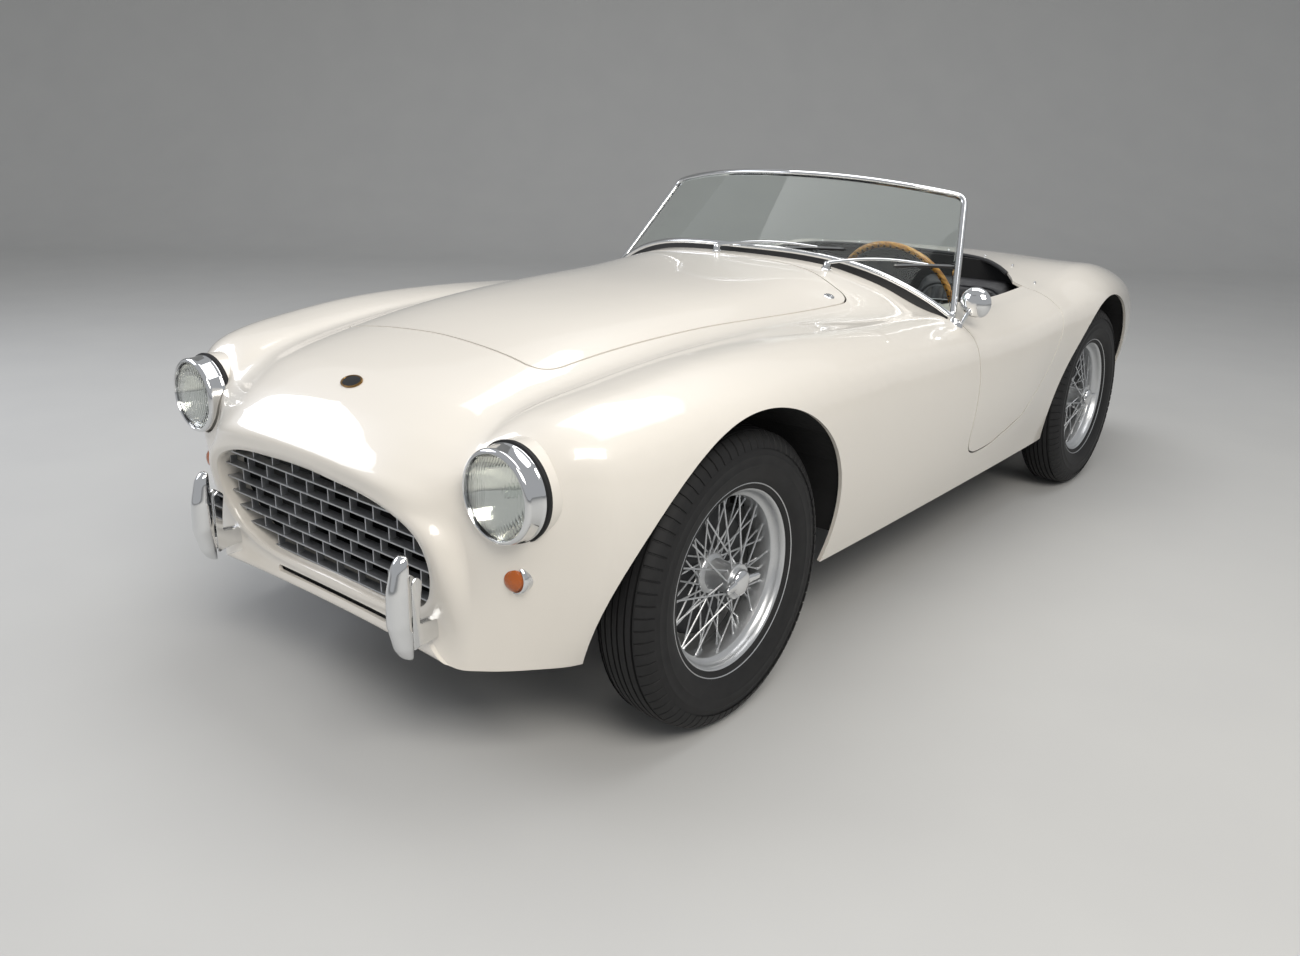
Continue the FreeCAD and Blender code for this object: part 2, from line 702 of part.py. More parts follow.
floor = pan.fuse(sheets + posts + [mirrored(q) for q in posts])
arch_room = spun([(across(LINER_X) - seat, liner_outer), (900, liner_outer)], V(0, rear_axle_y, axle_height),
                 (1, 0, 0), 2 * LINER_STEPS)
floor = floor.cut([tunnel_inside, arch_room, mirrored(arch_room), column_hole]).common(inside)
add_shape("floor", floor)

# Wheel arch liners: a half-round sheet from the engine bay or the boot out to the skin
liners = []
for station in (0, DRAWN_WHEELBASE):
    centre_y = along(station)
    rows = []
    for k in range(LINER_STEPS + 1):
        angle = math.pi * k / LINER_STEPS
        ring = []
        for r, end in ((liner_radius, 0), (liner_radius, 1), (liner_radius + LINER_THICKNESS, 1),
                       (liner_radius + LINER_THICKNESS, 0)):
            y, z = r * math.cos(angle), r * math.sin(angle)
            drawn = station + y
            out = flank_width(axle_height + z, drawn, thick + seat) - 0.4
            ring.append(V(out if end else across(LINER_X), centre_y + y, axle_height + z))
        rows.append(ring)
    liner = grid_solid(rows).cut(front if station == 0 else rear)
    liner = max(liner.Solids, key=lambda q: q.Volume)
    liners += [liner, mirrored(liner)]
add_shape("wheel_liners", Part.makeCompound(liners))

# Ladder chassis: two large tubes, four cross tubes, the housing of the steering rack and the pads
# where a jack lifts the car
TUBE_FRONT = -360
TUBE_REAR = 2560
REAR_CROSS = 105
RACK_STATION = -140
RACK_HOUSING_WALL = 10
MIDDLE_CROSS = 1000
FLATS_RATIO = 1.052
PADS = (480, 1780)
spread = size["chassis_spread"]
tube_radius = size["chassis_tube_radius"]
cross_radius = size["cross_tube_radius"]
chassis_z = size["chassis_height"]
rack_z = chassis_z + tube_radius + size["rack_radius"] + 8
members = []
for side, name in ((-1, "right"), (1, "left")):
    members.append(bar("chassis_tube_" + name, "Sizes.chassis_tube_radius",
                       along(TUBE_REAR) - along(TUBE_FRONT),
                       V(side * spread / 2, along(TUBE_FRONT), chassis_z), (0, 1, 0)))
for number, y in enumerate((along(0), along(MIDDLE_CROSS), rear_axle_y - REAR_CROSS,
                            rear_axle_y + REAR_CROSS)):
    members.append(bar("cross_tube_%d" % number, "Sizes.cross_tube_radius", spread,
                       V(-spread / 2, y, chassis_z), (1, 0, 0)))
rack_half = spread / 2 + 36
housing_outer = bar("rack_housing_outside", "Sizes.rack_radius + %d" % RACK_HOUSING_WALL, 2 * rack_half,
                    V(-rack_half, along(RACK_STATION), rack_z), (1, 0, 0))
# the bore is a prism too, so its corners lie further out for its flats to clear the rack
housing_bore = bar("rack_housing_bore", "Sizes.rack_radius * %g + Sizes.seating_clearance" % FLATS_RATIO,
                   2 * rack_half + 20, V(-rack_half - 10, along(RACK_STATION), rack_z), (1, 0, 0))
housing = doc.addObject("Part::Cut", "rack_housing")
housing.Base = housing_outer
housing.Tool = housing_bore
members.append(housing)
PAD_SIZE = (60, 90, 14)
pad_z = chassis_z - tube_radius - 10
for station in PADS:
    for side in (-1, 1):
        pad = doc.addObject("Part::Box", "jack_pad_%d_%d" % (station, side + 1))
        pad.Length = PAD_SIZE[0]
        pad.Width = PAD_SIZE[1]
        pad.Height = PAD_SIZE[2]
        pad.Placement = PLACE(V(side * spread / 2 - PAD_SIZE[0] / 2, along(station), pad_z), ROT())
        members.append(pad)
fused("chassis_frame", members)

# Grille: level slats that follow the mouth's lean, with upright fins that stagger from row to row
SLATS = 7
SLAT_THICKNESS = 3.5
SLAT_DEPTH = 26
GRILLE_DEEP = 14
FIN_PITCH = 78
SLAT_REACH, FIN_REACH = 400, 370
duct_fit = seat + 0.3
taper = DUCT_TAPER / DUCT_DEPTH
grille_room = grid_solid([mouth_ring(-taper * d - duct_fit, d) for d in (GRILLE_DEEP - 10, DUCT_DEPTH - 2)])
slat_pitch = (MOUTH_HIGH - MOUTH_LOW) / (SLATS + 0.4)


def grille_y(z):
    return along(MOUTH_STATION) - (z - MOUTH_LOW) * MOUTH_LEAN + GRILLE_DEEP


bars = []
for i in range(SLATS + 1):
    z = MOUTH_LOW + (i + 0.2) * slat_pitch
    bars.append(Part.makeBox(2 * SLAT_REACH, SLAT_DEPTH, SLAT_THICKNESS, V(-SLAT_REACH, grille_y(z), up(z))))
    if i < SLATS:
        for k in range(-5, 6):
            x = (k + (0.5 if i % 2 else 0.0)) * FIN_PITCH
            if abs(x) < FIN_REACH:
                bars.append(Part.makeBox(SLAT_THICKNESS, SLAT_DEPTH - 10, slat_pitch - SLAT_THICKNESS,
                                         V(x, grille_y(z) + 2, up(z) + SLAT_THICKNESS)))
add_shape("grille", Part.makeCompound([q for bar in bars for q in bar.common(grille_room).Solids]))

# Windscreen: curved glass in a slotted frame of a base rail, a top rail and two raked pillars


def base_point(u):
    return at(650 * u, 943 + 155 * u * u, 938 - 165 * abs(u) ** 3.2)


def top_point(u):
    return at(545 * u, 1203 + 145 * u * u, 1151 - 51 * abs(u) ** 2.2)


GLASS_STEPS = 8
GLASS_HALF = 2.5
us = [-1 + 2 * k / GLASS_STEPS for k in range(GLASS_STEPS + 1)]
glass_rows = []
for k in (0.03, 0.5, 0.97):
    glass_rows.append([base_point(u * 0.982) * (1 - k) + top_point(u * 0.982) * k for u in us])


def glass_wall(half):
    lean = V(0, -half, half * 0.6)
    return wall_solid([[p + lean for p in row] for row in glass_rows],
                      [[p - lean for p in row] for row in glass_rows])


add_shape("windscreen_glass", glass_wall(GLASS_HALF))
loop = [base_point(u) for u in us] + [(base_point(1) + top_point(1)) * 0.5]
loop += [top_point(u) for u in reversed(us)] + [(base_point(-1) + top_point(-1)) * 0.5]
frame = rod(loop, size["windscreen_frame_radius"], 4, closed=True, turn=math.pi / 4)
feet = []
for side in (-1, 1):
    feet.append(rod([at(side * 651, 1103, 770), at(side * 655, 1092, 738)], 13, 4, turn=math.pi / 4))
for u in (-0.5, 0, 0.5):
    feet.append(rod([base_point(u), base_point(u) + V(0, -6, -34)], 9, 4, turn=math.pi / 4))
frame = frame.fuse(feet).cut(glass_wall(GLASS_HALF + seat))
frame = frame.cut(front)
add_shape("windscreen_frame", nearest(frame, at(0, 1100, 1000)))

# Wipers, and the round mirror on the left wing
blades = []
for x, station, reach in ((-50, 905, 320), (325, 930, 285)):
    foot = V(across(x), along(station), top_height(abs(across(x)), station, 0) + seat)
    side_lean = V(reach, 78, 30)
    arm = rod([foot + V(0, 0, 2 * seat), foot + V(0, 0, 20), foot + side_lean + V(0, -17, 6)], 4, 4)
    blades.append(nearest(arm.cut(front), foot + side_lean * 0.5))
add_shape("wipers", Part.makeCompound(blades))
mirror_head = spun([(0, 46), (10, 46), (24, 26), (28, 8)], at(692, 1150, 818), (0, -1, 0.05), 14)
mirror_stem = rod([at(664, 1105, 728), at(688, 1130, 806)], 5, 6)
mirror = mirror_head.fuse(mirror_stem).cut(front)
add_shape("mirror", nearest(mirror, at(692, 1150, 818)))

# Lamps
rims, lenses, bowls, signals, tails = [], [], [], [], []
depth = size["headlamp_depth"]
lens_radius = lamp_radius - 13
rim_start = V(0, -seat, 0)
rim_ring = turned([(0, lens_radius + seat), (0, lamp_radius), (depth - 10, lamp_radius - 1),
                   (depth, lamp_radius - 9), (depth, lens_radius + seat)], lamp_front + rim_start, (0, -1, 0),
                  LAMP_SIDES)
lens = spun([(depth - 16, lens_radius), (depth - 8, lens_radius), (depth + 2, lens_radius - 22),
             (depth + 7, 24)], lamp_front, (0, -1, 0), LAMP_SIDES)
bowl = spun([(depth - 16 - seat, lens_radius), (-30, 40)], lamp_front, (0, -1, 0), LAMP_SIDES)
bowl = bowl.cut(spun([(depth - 10, lens_radius - 5), (-24, 36)], lamp_front, (0, -1, 0), LAMP_SIDES))
add_shape("headlamp_rims", both_sides(rim_ring))
add_shape("headlamp_lenses", both_sides(lens))
add_shape("headlamp_bowls", both_sides(bowl))
SIGNAL_AT = (541, -507, 467)
signal_radius = size["indicator_radius"]
signal = spun([(-70, signal_radius - 4), (6, signal_radius), (12, signal_radius - 6),
               (22, signal_radius - 15), (25, 6)], at(*SIGNAL_AT), (0, -1, 0), 14)
add_shape("indicators", both_sides(nearest(signal.cut(front), at(541, -540, 467))))
TAIL_AT = (545, 3085, 540)
tail_lamp = spun([(-60, 32), (6, 34), (16, 27), (24, 8)], at(*TAIL_AT), (0.25, 1, 0.1), 14)
add_shape("tail_lamps", both_sides(nearest(tail_lamp.cut(rear), at(560, 3120, 545))))

# Overriders: slim curved bars on brackets
OVERRIDER_X = 364
OVERRIDER = ((284, 8, 15), (310, 30, 24), (365, 46, 25), (430, 44, 24), (480, 30, 20), (501, 12, 12))
OVERRIDER_BULGE = 46
front_face = -size["overall_length"] / 2 + OVERRIDER_BULGE
rear_face = size["overall_length"] / 2 - OVERRIDER_BULGE


def overrider(face_y, facing, body, stem_z, stem_end):
    rings = []
    for z, bulge, half in OVERRIDER:
        rings.append([V(across(OVERRIDER_X) + dx, face_y + facing * b, up(z))
                      for dx, b in ((-half, 0), (-half * 0.7, bulge), (half * 0.7, bulge), (half, 0))])
    bar = grid_solid(rings)
    stem = Part.makeBox(26, abs(face_y - stem_end), 22,
                        V(across(OVERRIDER_X) - 13, min(face_y, stem_end), up(stem_z)))
    return nearest(bar.fuse(stem).cut(body), V(across(OVERRIDER_X), face_y + facing * 20, up(400)))


FRONT_STEM_Z, FRONT_STEM_LENGTH = 318, 95
REAR_STEM_Z = 400
add_shape("front_overriders",
          both_sides(overrider(front_face, -1, front, FRONT_STEM_Z, front_face + FRONT_STEM_LENGTH)))
add_shape("rear_overriders", both_sides(overrider(rear_face, 1, rear, REAR_STEM_Z, along(BOOT_END) + seat)))

# Seats: boxed bases on the floor, plain closed cushions and backs
seat_half = size["seat_width"] / 2
seat_middle = size["seat_spread"] / 2
BASE_TOP = 330
bases = []
cushions = []
backs = []
for side in (-1, 1):
    middle = side * seat_middle
    bases.append(slab(middle - seat_half + 20, middle + seat_half - 20, 1475, 1850, pan_top + seat,
                      up(BASE_TOP)))
    cushions.append(grid_solid([[V(middle - seat_half + e, along(1450 + e), up(z)),
                                 V(middle + seat_half - e, along(1450 + e), up(z)),
                                 V(middle + seat_half - e, along(1872 - e), up(z)),
                                 V(middle - seat_half + e, along(1872 - e), up(z))]
                                for z, e in ((BASE_TOP + seat, 5), (345, 0), (432, 0), (455, 18))]))
    backs.append(grid_solid([[V(middle - seat_half + e, along(s0), up(z)),
                              V(middle + seat_half - e, along(s0), up(z)),
                              V(middle + seat_half - e, along(s1), up(z)),
                              V(middle - seat_half + e, along(s1), up(z))]
                             for z, s0, s1, e in ((455 + seat, 1800, 1880, 8), (560, 1826, 1925, 0),
                                                  (740, 1864, 1960, 14), (800, 1886, 1962, 60))]))
add_shape("seat_bases", Part.makeCompound(bases))
add_shape("seat_cushions", Part.makeCompound(cushions))
add_shape("seat_backs", Part.makeCompound(backs))

# Dashboard under the scuttle's rear edge


def cockpit_front(x):
    """Station of the cockpit's front edge at an x."""
    best = 9999
    for i, (bx, bs) in enumerate(COCKPIT):
        ax, a_s = COCKPIT[i - 1]
        if min(ax, bx) <= x <= max(ax, bx) and ax != bx:
            best = min(best, a_s + (bs - a_s) * (x - ax) / (bx - ax))
    return best


DASH_LOW = 655
DASH_THICKNESS = 16
DASH_DROP = 1.2
dash_rows = []
for x in (-545, -410, -270, -135, 0, 135, 270, 410, 545):
    near = cockpit_front(x) - 6
    far = near - DASH_THICKNESS
    top = min(top_height(across(abs(x)), s, thick) for s in (near, far)) - DASH_DROP
    dash_rows.append([V(across(x), along(s), z)
                      for s, z in ((far, up(DASH_LOW)), (near, up(DASH_LOW)), (near, top), (far, top))])
add_shape("dashboard", grid_solid(dash_rows).cut(column_room))

# Steering column down to the rack, steering wheel, gear lever
COLUMN_LENGTH = 660
column_end = wheel_centre - column_axis * COLUMN_LENGTH
column_top = wheel_centre - column_axis * (38 + seat)
pinion = V(column_end.x - 125, along(RACK_STATION), rack_z)
shaft_line = (column_end - pinion).normalize()
shaft_foot = pinion + shaft_line * (size["rack_radius"] + RACK_HOUSING_WALL + 5 * seat)
column = Part.makeCylinder(column_radius, COLUMN_LENGTH - 38 - seat, column_end, column_axis)
column = column.fuse(rod([column_end + column_axis * 10, column_end, shaft_foot], 9, 8))
add_shape("steering_column", column)
rim_r = size["steering_wheel_radius"]
rim_t = size["steering_rim_thickness"] / 2
rim = turned([(rim_t * math.cos(a * math.tau / 5), rim_r - rim_t + rim_t * math.sin(a * math.tau / 5))
              for a in range(5)], wheel_centre, column_axis, 24)
hub = spun([(-38, 18), (-14, 30), (6, 30), (12, 8)], wheel_centre, column_axis, 12)
wheel_side = V(1, 0, 0)
wheel_up = column_axis.cross(wheel_side) * -1
spokes = []
for angle in (-90, 30, 150):
    out = wheel_side * math.cos(math.radians(angle)) + wheel_up * math.sin(math.radians(angle))
    spokes.append(rod([wheel_centre + out * 20 - column_axis * 6, wheel_centre + out * (rim_r - rim_t)],
                      5, 4))
add_shape("steering_wheel", rim.fuse([hub] + spokes))
lever_foot = V(0, along(1330), up(TUNNEL_TOP) + 2 * seat)
lever = rod([lever_foot, at(0, 1320, 540), at(0, 1345, 600)], 7, 6).fuse(
    spun([(-18, 10), (0, 21), (18, 10)], at(0, 1345, 612), (0, 0, 1), 10))
add_shape("gear_lever", lever)

# Engine block with its gearbox and mounts, propeller shaft, radiator, exhaust
ENGINE_HALF = 120
ENGINE_LOW = 300
engine_mount_z = chassis_z + tube_radius * math.cos(math.pi / BAR_SIDES) + seat
engine_block = block("engine_block", 0, 70, ENGINE_LOW, 2 * ENGINE_HALF, 630, 455)
gearbox = block("gearbox", 0, 690, ENGINE_LOW, 150, 400, 120)
mounts = []
for station in (80, 560):
    mount = doc.addObject("Part::Box", "engine_mount_%d" % station)
    mount.Length = spread + 20
    mount.Width = 60
    mount.Height = up(ENGINE_LOW) - engine_mount_z + 5
    mount.Placement = PLACE(V(-spread / 2 - 10, along(station), engine_mount_z), ROT())
    mounts.append(mount)
fused("engine", [engine_block, gearbox] + mounts)
PINION_NOSE = 160
shaft_length = rear_axle_y - PINION_NOSE - seat - along(1090) - seat
propeller_shaft = cylinder("propeller_shaft", "Sizes.shaft_radius", shaft_length,
                           V(0, along(1090) + seat, axle_height), (0, 1, 0))
propeller_shaft.Label = "propeller_shaft"
parts.append(propeller_shaft)
radiator = doc.addObject("Part::Box", "radiator")
radiator.Label = "radiator"
radiator.Length = 430
radiator.Width = 70
radiator.Height = up(700) - engine_mount_z
radiator.Placement = PLACE(V(-215, along(-330), engine_mount_z), ROT())
parts.append(radiator)
pipe_x = -ENGINE_HALF - 32
PIPE_DROP = 318
pipe = rod([V(-ENGINE_HALF - seat, along(150), up(430)), V(pipe_x + 6, along(150), up(430)),
            V(pipe_x, along(170), up(400)), V(pipe_x, along(220), up(PIPE_DROP)), at(-100, 340, 168),
            at(-100, 2690, 168), at(-290, 2870, 212), at(-310, 3140, 222)], size["exhaust_radius"], 8)
muffler = spun([(0, 26), (20, 50), (540, 50), (560, 26)], at(-100, 1450, 168), (0, 1, 0), 10)
add_shape("exhaust", pipe.fuse(muffler))

# Transverse leaf spring over lower wishbones, on the wheel uprights, at both ends of the car
king = size["king_pin_offset"]
post_radius = size["king_pin_radius"]
stub_radius = size["stub_radius"]
wishbone = size["wishbone_radius"]
half_track = size["track_width"] / 2
LEAF_HEIGHT = 95
WISHBONE_SPREAD = 130
POST_LOW = 204
POST_HIGH = 477
spring_end = king - post_radius - seat
spring_z = axle_height + LEAF_HEIGHT + seat


def leaf_spring(y):
    return grid_solid([[V(x, y - 28, spring_z + z), V(x, y + 28, spring_z + z),
                        V(x, y + 28, spring_z + z + t), V(x, y - 28, spring_z + z + t)]
                       for x, z, t in ((-spring_end, 18, 8), (-260, 6, 20), (0, 0, 34), (260, 6, 20),
                                       (spring_end, 18, 8))])


def wishbone_pair(y):
    lean = math.atan2(WISHBONE_SPREAD, spring_end - spread / 2 - tube_radius)
    cap = wishbone * math.sin(lean)
    inner = spread / 2 + tube_radius + seat + cap
    outer = spring_end - cap
    arms = []
    for reach in (-WISHBONE_SPREAD, WISHBONE_SPREAD):
        arms.append(rod([V(inner, y + reach, chassis_z), V(outer, y, chassis_z)], wishbone, 6))
    return arms[0].fuse(arms[1])


def upright(side, y, steering_arm):
    """Post, stub axle and brake backplate of one wheel."""
    plate_in = half_track - 82
    post = rod([V(side * king, y, up(POST_LOW)), V(side * king, y, up(POST_HIGH))], post_radius, 8)
    stub = rod([V(side * king, y, axle_height), V(side * (half_track + 40), y, axle_height)], stub_radius, 12)
    plate = spun([(0, size["drum_radius"] - 4), (5, size["drum_radius"] - 4)],
                 V(side * plate_in, y, axle_height), (side, 0, 0), 14)
    pieces = [stub, plate]
    if steering_arm:
        pieces.append(rod([V(side * king, y, up(317)), V(side * (king + 8), y - 140, up(317))], 11, 6))
    return post.fuse(pieces)


tower = slab(-140, 140, -45, 45, chassis_z + cross_radius + seat, spring_z + 4)
front_wishbones = wishbone_pair(front_axle_y)
add_shape("front_suspension", Part.makeCompound([leaf_spring(front_axle_y).fuse(tower), front_wishbones,
                                                 mirrored(front_wishbones)]))
rear_wishbones = wishbone_pair(rear_axle_y)
add_shape("rear_suspension", Part.makeCompound([leaf_spring(rear_axle_y), rear_wishbones,
                                                mirrored(rear_wishbones)]))
add_shape("knuckle_right", upright(-1, front_axle_y, True))
add_shape("knuckle_left", upright(1, front_axle_y, True))
add_shape("rear_uprights", Part.makeCompound([upright(side, rear_axle_y, False) for side in (-1, 1)]))
ROD_HALF = 512
track_rod = bar("track_rod", "Sizes.rack_radius", 2 * ROD_HALF, V(-ROD_HALF, along(RACK_STATION), rack_z),
                     (1, 0, 0))
track_rod.Label = "track_rod"
parts.append(track_rod)

# Final drive on its two cross tubes, with the half-shafts out to the uprights
case = spun([(-120, 40), (-60, LEAF_HEIGHT), (60, LEAF_HEIGHT), (120, 40)], V(0, rear_axle_y, axle_height),
            (1, 0, 0), 12)
nose_piece = rod([V(0, rear_axle_y, axle_height), V(0, rear_axle_y - PINION_NOSE, axle_height)], 42, 10)
lug = Part.makeBox(100, 2 * REAR_CROSS + 40, 28, V(-50, rear_axle_y - REAR_CROSS - 20,
                                                   chassis_z + cross_radius + seat))
shafts = [rod([V(s * 100, rear_axle_y, axle_height), V(s * spring_end, rear_axle_y, axle_height)], 19, 8)
          for s in (-1, 1)]
add_shape("final_drive", case.fuse([nose_piece, lug] + shafts))

# Road wheels: tyre, wire wheel with its two-eared spinner, and brake drum
WHEEL_SIDES = 28
HUB_SIDES = 12
SPOKES = 48
WELL_DEPTH = 20
WELL_HALF = 22
SPOKE_ROOT = 4
HUB_INNER = -22
HUB_OUTER = 62
tyre_r = size["tyre_radius"]
tyre_half = size["tyre_width"] / 2
bead = size["rim_bead_radius"]
flange = size["rim_flange_radius"]
rim_half = size["rim_width"] / 2
well = bead - WELL_DEPTH
bore = stub_radius + seat
hub_radius = size["hub_radius"]


def mirrored_profile(half):
    """Closed outline from its right half, which runs from the inside out."""
    return half + [(-a, r) for a, r in reversed(half) if a != 0]


def tyre_at(centre, side):
    half = [(rim_half - 7 - seat, bead + seat), (rim_half - seat, flange + seat),
            (tyre_half, 0.58 * flange + 0.42 * tyre_r), (tyre_half - 9, tyre_r - 18),
            (tyre_half - 30, tyre_r - 3), (0, tyre_r)]
    return turned(mirrored_profile(half), centre, (side, 0, 0), WHEEL_SIDES)


def spoke(foot, foot_r, rim_a, angle, lean):
    """Straight spoke, let into the hub and into the rim's well at its two ends."""
    inner = foot_r - SPOKE_ROOT
    outer = well + SPOKE_ROOT
    start = V(foot, inner * math.sin(angle - lean), inner * math.cos(angle - lean))
    end = V(rim_a, outer * math.sin(angle), outer * math.cos(angle))
    return rod([start, end], size["spoke_diameter"] / 2, 3)


def wire_wheel():
    """A left wheel about the middle of its own axle line, its outside towards +X."""
    half = [(rim_half - 7, bead), (rim_half, flange), (rim_half, bead - 4), (WELL_HALF, well)]
    rim = turned(mirrored_profile(half), V(0, 0, 0), (1, 0, 0), WHEEL_SIDES)
    hub = turned([(HUB_INNER, bore), (HUB_INNER, hub_radius), (HUB_INNER + 16, hub_radius),
                  (HUB_INNER + 22, hub_radius - 12), (HUB_OUTER - 18, hub_radius - 14),
                  (HUB_OUTER - 14, hub_radius - 8), (HUB_OUTER, hub_radius - 8), (HUB_OUTER, bore)],
                 V(0, 0, 0), (1, 0, 0), HUB_SIDES)
    wires = []
    for k in range(SPOKES):
        angle = 2 * math.pi * k / SPOKES
        row = k % 3
        turn = 1 if (k // 3) % 2 else -1
        if row == 0:
            wires.append(spoke(HUB_OUTER - 4 - (8 if turn > 0 else 0), hub_radius - 8,
                               12 - (7 if turn > 0 else 0), angle, turn * math.radians(34)))
        else:
            turn = 1 if row == 1 else -1
            wires.append(spoke(HUB_INNER + 4 + (8 if turn > 0 else 0), hub_radius,
                               -14 + (8 if turn > 0 else 0), angle, turn * math.radians(38)))
    outline = [(10, 26), (52, 14), (62, 9), (62, -9), (52, -14), (10, -26), (-10, -26), (-52, -14), (-62, -9),
               (-62, 9), (-52, 14), (-10, 26)]
    spinner = grid_solid([[V(HUB_OUTER + a, y * s, z * s) for y, z in outline]
                          for a, s in ((-1, 1.0), (12, 1.0), (18, 0.8))])
    return rim.fuse([hub, spinner] + wires)


def drum_at(centre, side):
    r = size["drum_radius"]
    outer = HUB_INNER - seat
    inner = outer - size["drum_width"]
    return turned([(inner, bore), (inner, r), (outer - 8, r), (outer, r - 14), (outer, bore)], centre,
                  (side, 0, 0), 20)


left_wheel = wire_wheel()
for label, side, y in (("fl", 1, front_axle_y), ("fr", -1, front_axle_y), ("rl", 1, rear_axle_y),
                       ("rr", -1, rear_axle_y)):
    centre = V(side * half_track, y, axle_height)
    add_shape("tyre_" + label, tyre_at(centre, side))
    wheel = left_wheel.copy() if side > 0 else mirrored(left_wheel)
    wheel.translate(centre)
    add_shape("wire_wheel_" + label, wheel)
    add_shape("brake_drum_" + label, drum_at(centre, side))

doc.recompute()
failed = [o.Name for o in doc.Objects if "Invalid" in o.State or "Error" in o.State]
if failed:
    raise RuntimeError("failed objects: %s" % failed)
bad = [p.Label for p in parts if p.Shape.isNull() or not p.Shape.isValid() or p.Shape.Volume < 1]
if bad:
    raise RuntimeError("bad shapes: %s" % bad)
os.makedirs("parts", exist_ok=True)
for piece in parts:
    piece.Shape.exportStep("parts/%s.step" % piece.Label)
    print(piece.Label, len(piece.Shape.Solids), round(piece.Shape.Volume / 1000), len(piece.Shape.Faces))
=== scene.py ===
import math

import bmesh
import bpy
import numpy as np
from mathutils import Matrix, Vector
from mathutils.bvhtree import BVHTree


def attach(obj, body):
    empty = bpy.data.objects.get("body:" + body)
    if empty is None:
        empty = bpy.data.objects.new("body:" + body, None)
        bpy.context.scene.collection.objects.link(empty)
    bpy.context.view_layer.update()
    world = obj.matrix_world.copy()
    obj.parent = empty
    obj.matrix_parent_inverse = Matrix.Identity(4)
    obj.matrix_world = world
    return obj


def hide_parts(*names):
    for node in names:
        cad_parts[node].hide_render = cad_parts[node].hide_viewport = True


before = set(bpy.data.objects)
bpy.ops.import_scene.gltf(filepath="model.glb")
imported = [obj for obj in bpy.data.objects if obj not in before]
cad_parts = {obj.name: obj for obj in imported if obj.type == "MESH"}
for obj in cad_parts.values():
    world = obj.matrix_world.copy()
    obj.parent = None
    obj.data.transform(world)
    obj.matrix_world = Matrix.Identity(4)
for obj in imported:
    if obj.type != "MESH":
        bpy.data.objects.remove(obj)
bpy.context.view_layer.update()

# BODY SHELL. Hand-beaten aluminium over a tube frame, welded up and filed into one skin from the
# nose to the tail, with openings cut for the bonnet, boot, doors, cockpit, wheels and lamps.
# Every panel below is cut from the same rounded surface, so that highlights run on over the gaps.

# half of the control polygon of each section, from the crown to the sill's edge: station behind the
# front axle, lead of the crown, then x and z of seven points, in millimetres
SECTIONS = np.array((
    (-550, 62, 225, 640, 375, 618, 425, 575, 452, 520, 462, 460, 470, 340, 452, 257),
    (-515, 60, 235, 676, 395, 645, 470, 655, 562, 664, 600, 588, 528, 420, 494, 257),
    (-470, 52, 240, 716, 402, 684, 472, 724, 594, 738, 658, 665, 588, 430, 536, 257),
    (-397, 30, 250, 766, 412, 728, 480, 766, 625, 772, 716, 682, 670, 410, 590, 257),
    (-237, 0, 255, 818, 424, 762, 498, 792, 645, 798, 752, 700, 720, 410, 636, 257),
    (0, 0, 255, 862, 432, 788, 510, 815, 650, 820, 768, 720, 735, 420, 664, 257),
    (283, 0, 258, 886, 440, 806, 520, 820, 645, 820, 762, 720, 732, 430, 676, 257),
    (643, 0, 262, 900, 452, 826, 545, 806, 648, 800, 748, 710, 733, 430, 680, 255),
    (943, 0, 250, 922, 450, 862, 565, 800, 650, 782, 742, 700, 735, 430, 680, 253),
    (1183, 0, 240, 930, 440, 880, 575, 792, 650, 770, 740, 690, 735, 430, 680, 252),
    (1543, 0, 240, 900, 440, 870, 575, 775, 650, 752, 742, 680, 728, 430, 678, 250),
    (1903, 0, 240, 866, 440, 850, 560, 795, 655, 775, 756, 690, 706, 430, 672, 248),
    (2286, 0, 250, 850, 430, 835, 520, 828, 650, 828, 768, 720, 730, 450, 665, 258),
    (2643, 0, 250, 800, 420, 792, 510, 790, 620, 785, 715, 700, 705, 430, 640, 280),
    (2923, 0, 240, 712, 400, 706, 480, 710, 570, 705, 650, 630, 640, 420, 580, 300),
    (3073, 0, 230, 606, 380, 602, 450, 612, 530, 600, 588, 555, 580, 420, 540, 318),
    (3118, 0, 200, 514, 330, 511, 400, 512, 460, 500, 500, 478, 500, 400, 470, 345),
), float)
NOSE, TAIL = -550, 3118
FRONT_AXLE_Y, REAR_AXLE_Y, AXLE_Z, HALF_TRACK = -1.252, 1.034, 0.337, 0.635
SKIN = 0.009
GAP = 5
COLUMN_STEPS = 8


def at(x, station, z):
    """A drawn place, in millimetres, as a point in metres."""
    return np.array((x / 1000, FRONT_AXLE_Y + station / 1000, z / 1000))


def section_row(station):
    """Row of the table at any station, by a smooth curve through the rows."""
    rows = SECTIONS
    k = int(np.clip(np.searchsorted(rows[:, 0], station, side="right") - 1, 0, len(rows) - 2))
    a, b = rows[k], rows[k + 1]
    before, after = rows[max(k - 1, 0)], rows[min(k + 2, len(rows) - 1)]
    span = b[0] - a[0]
    t = (station - a[0]) / span
    into = (b - before) / (b[0] - before[0]) * span
    out_of = (after - a) / (after[0] - a[0]) * span
    return ((2 * t ** 3 - 3 * t ** 2 + 1) * a + (t ** 3 - 2 * t ** 2 + t) * into
            + (3 * t ** 2 - 2 * t ** 3) * b + (t ** 3 - t ** 2) * out_of)


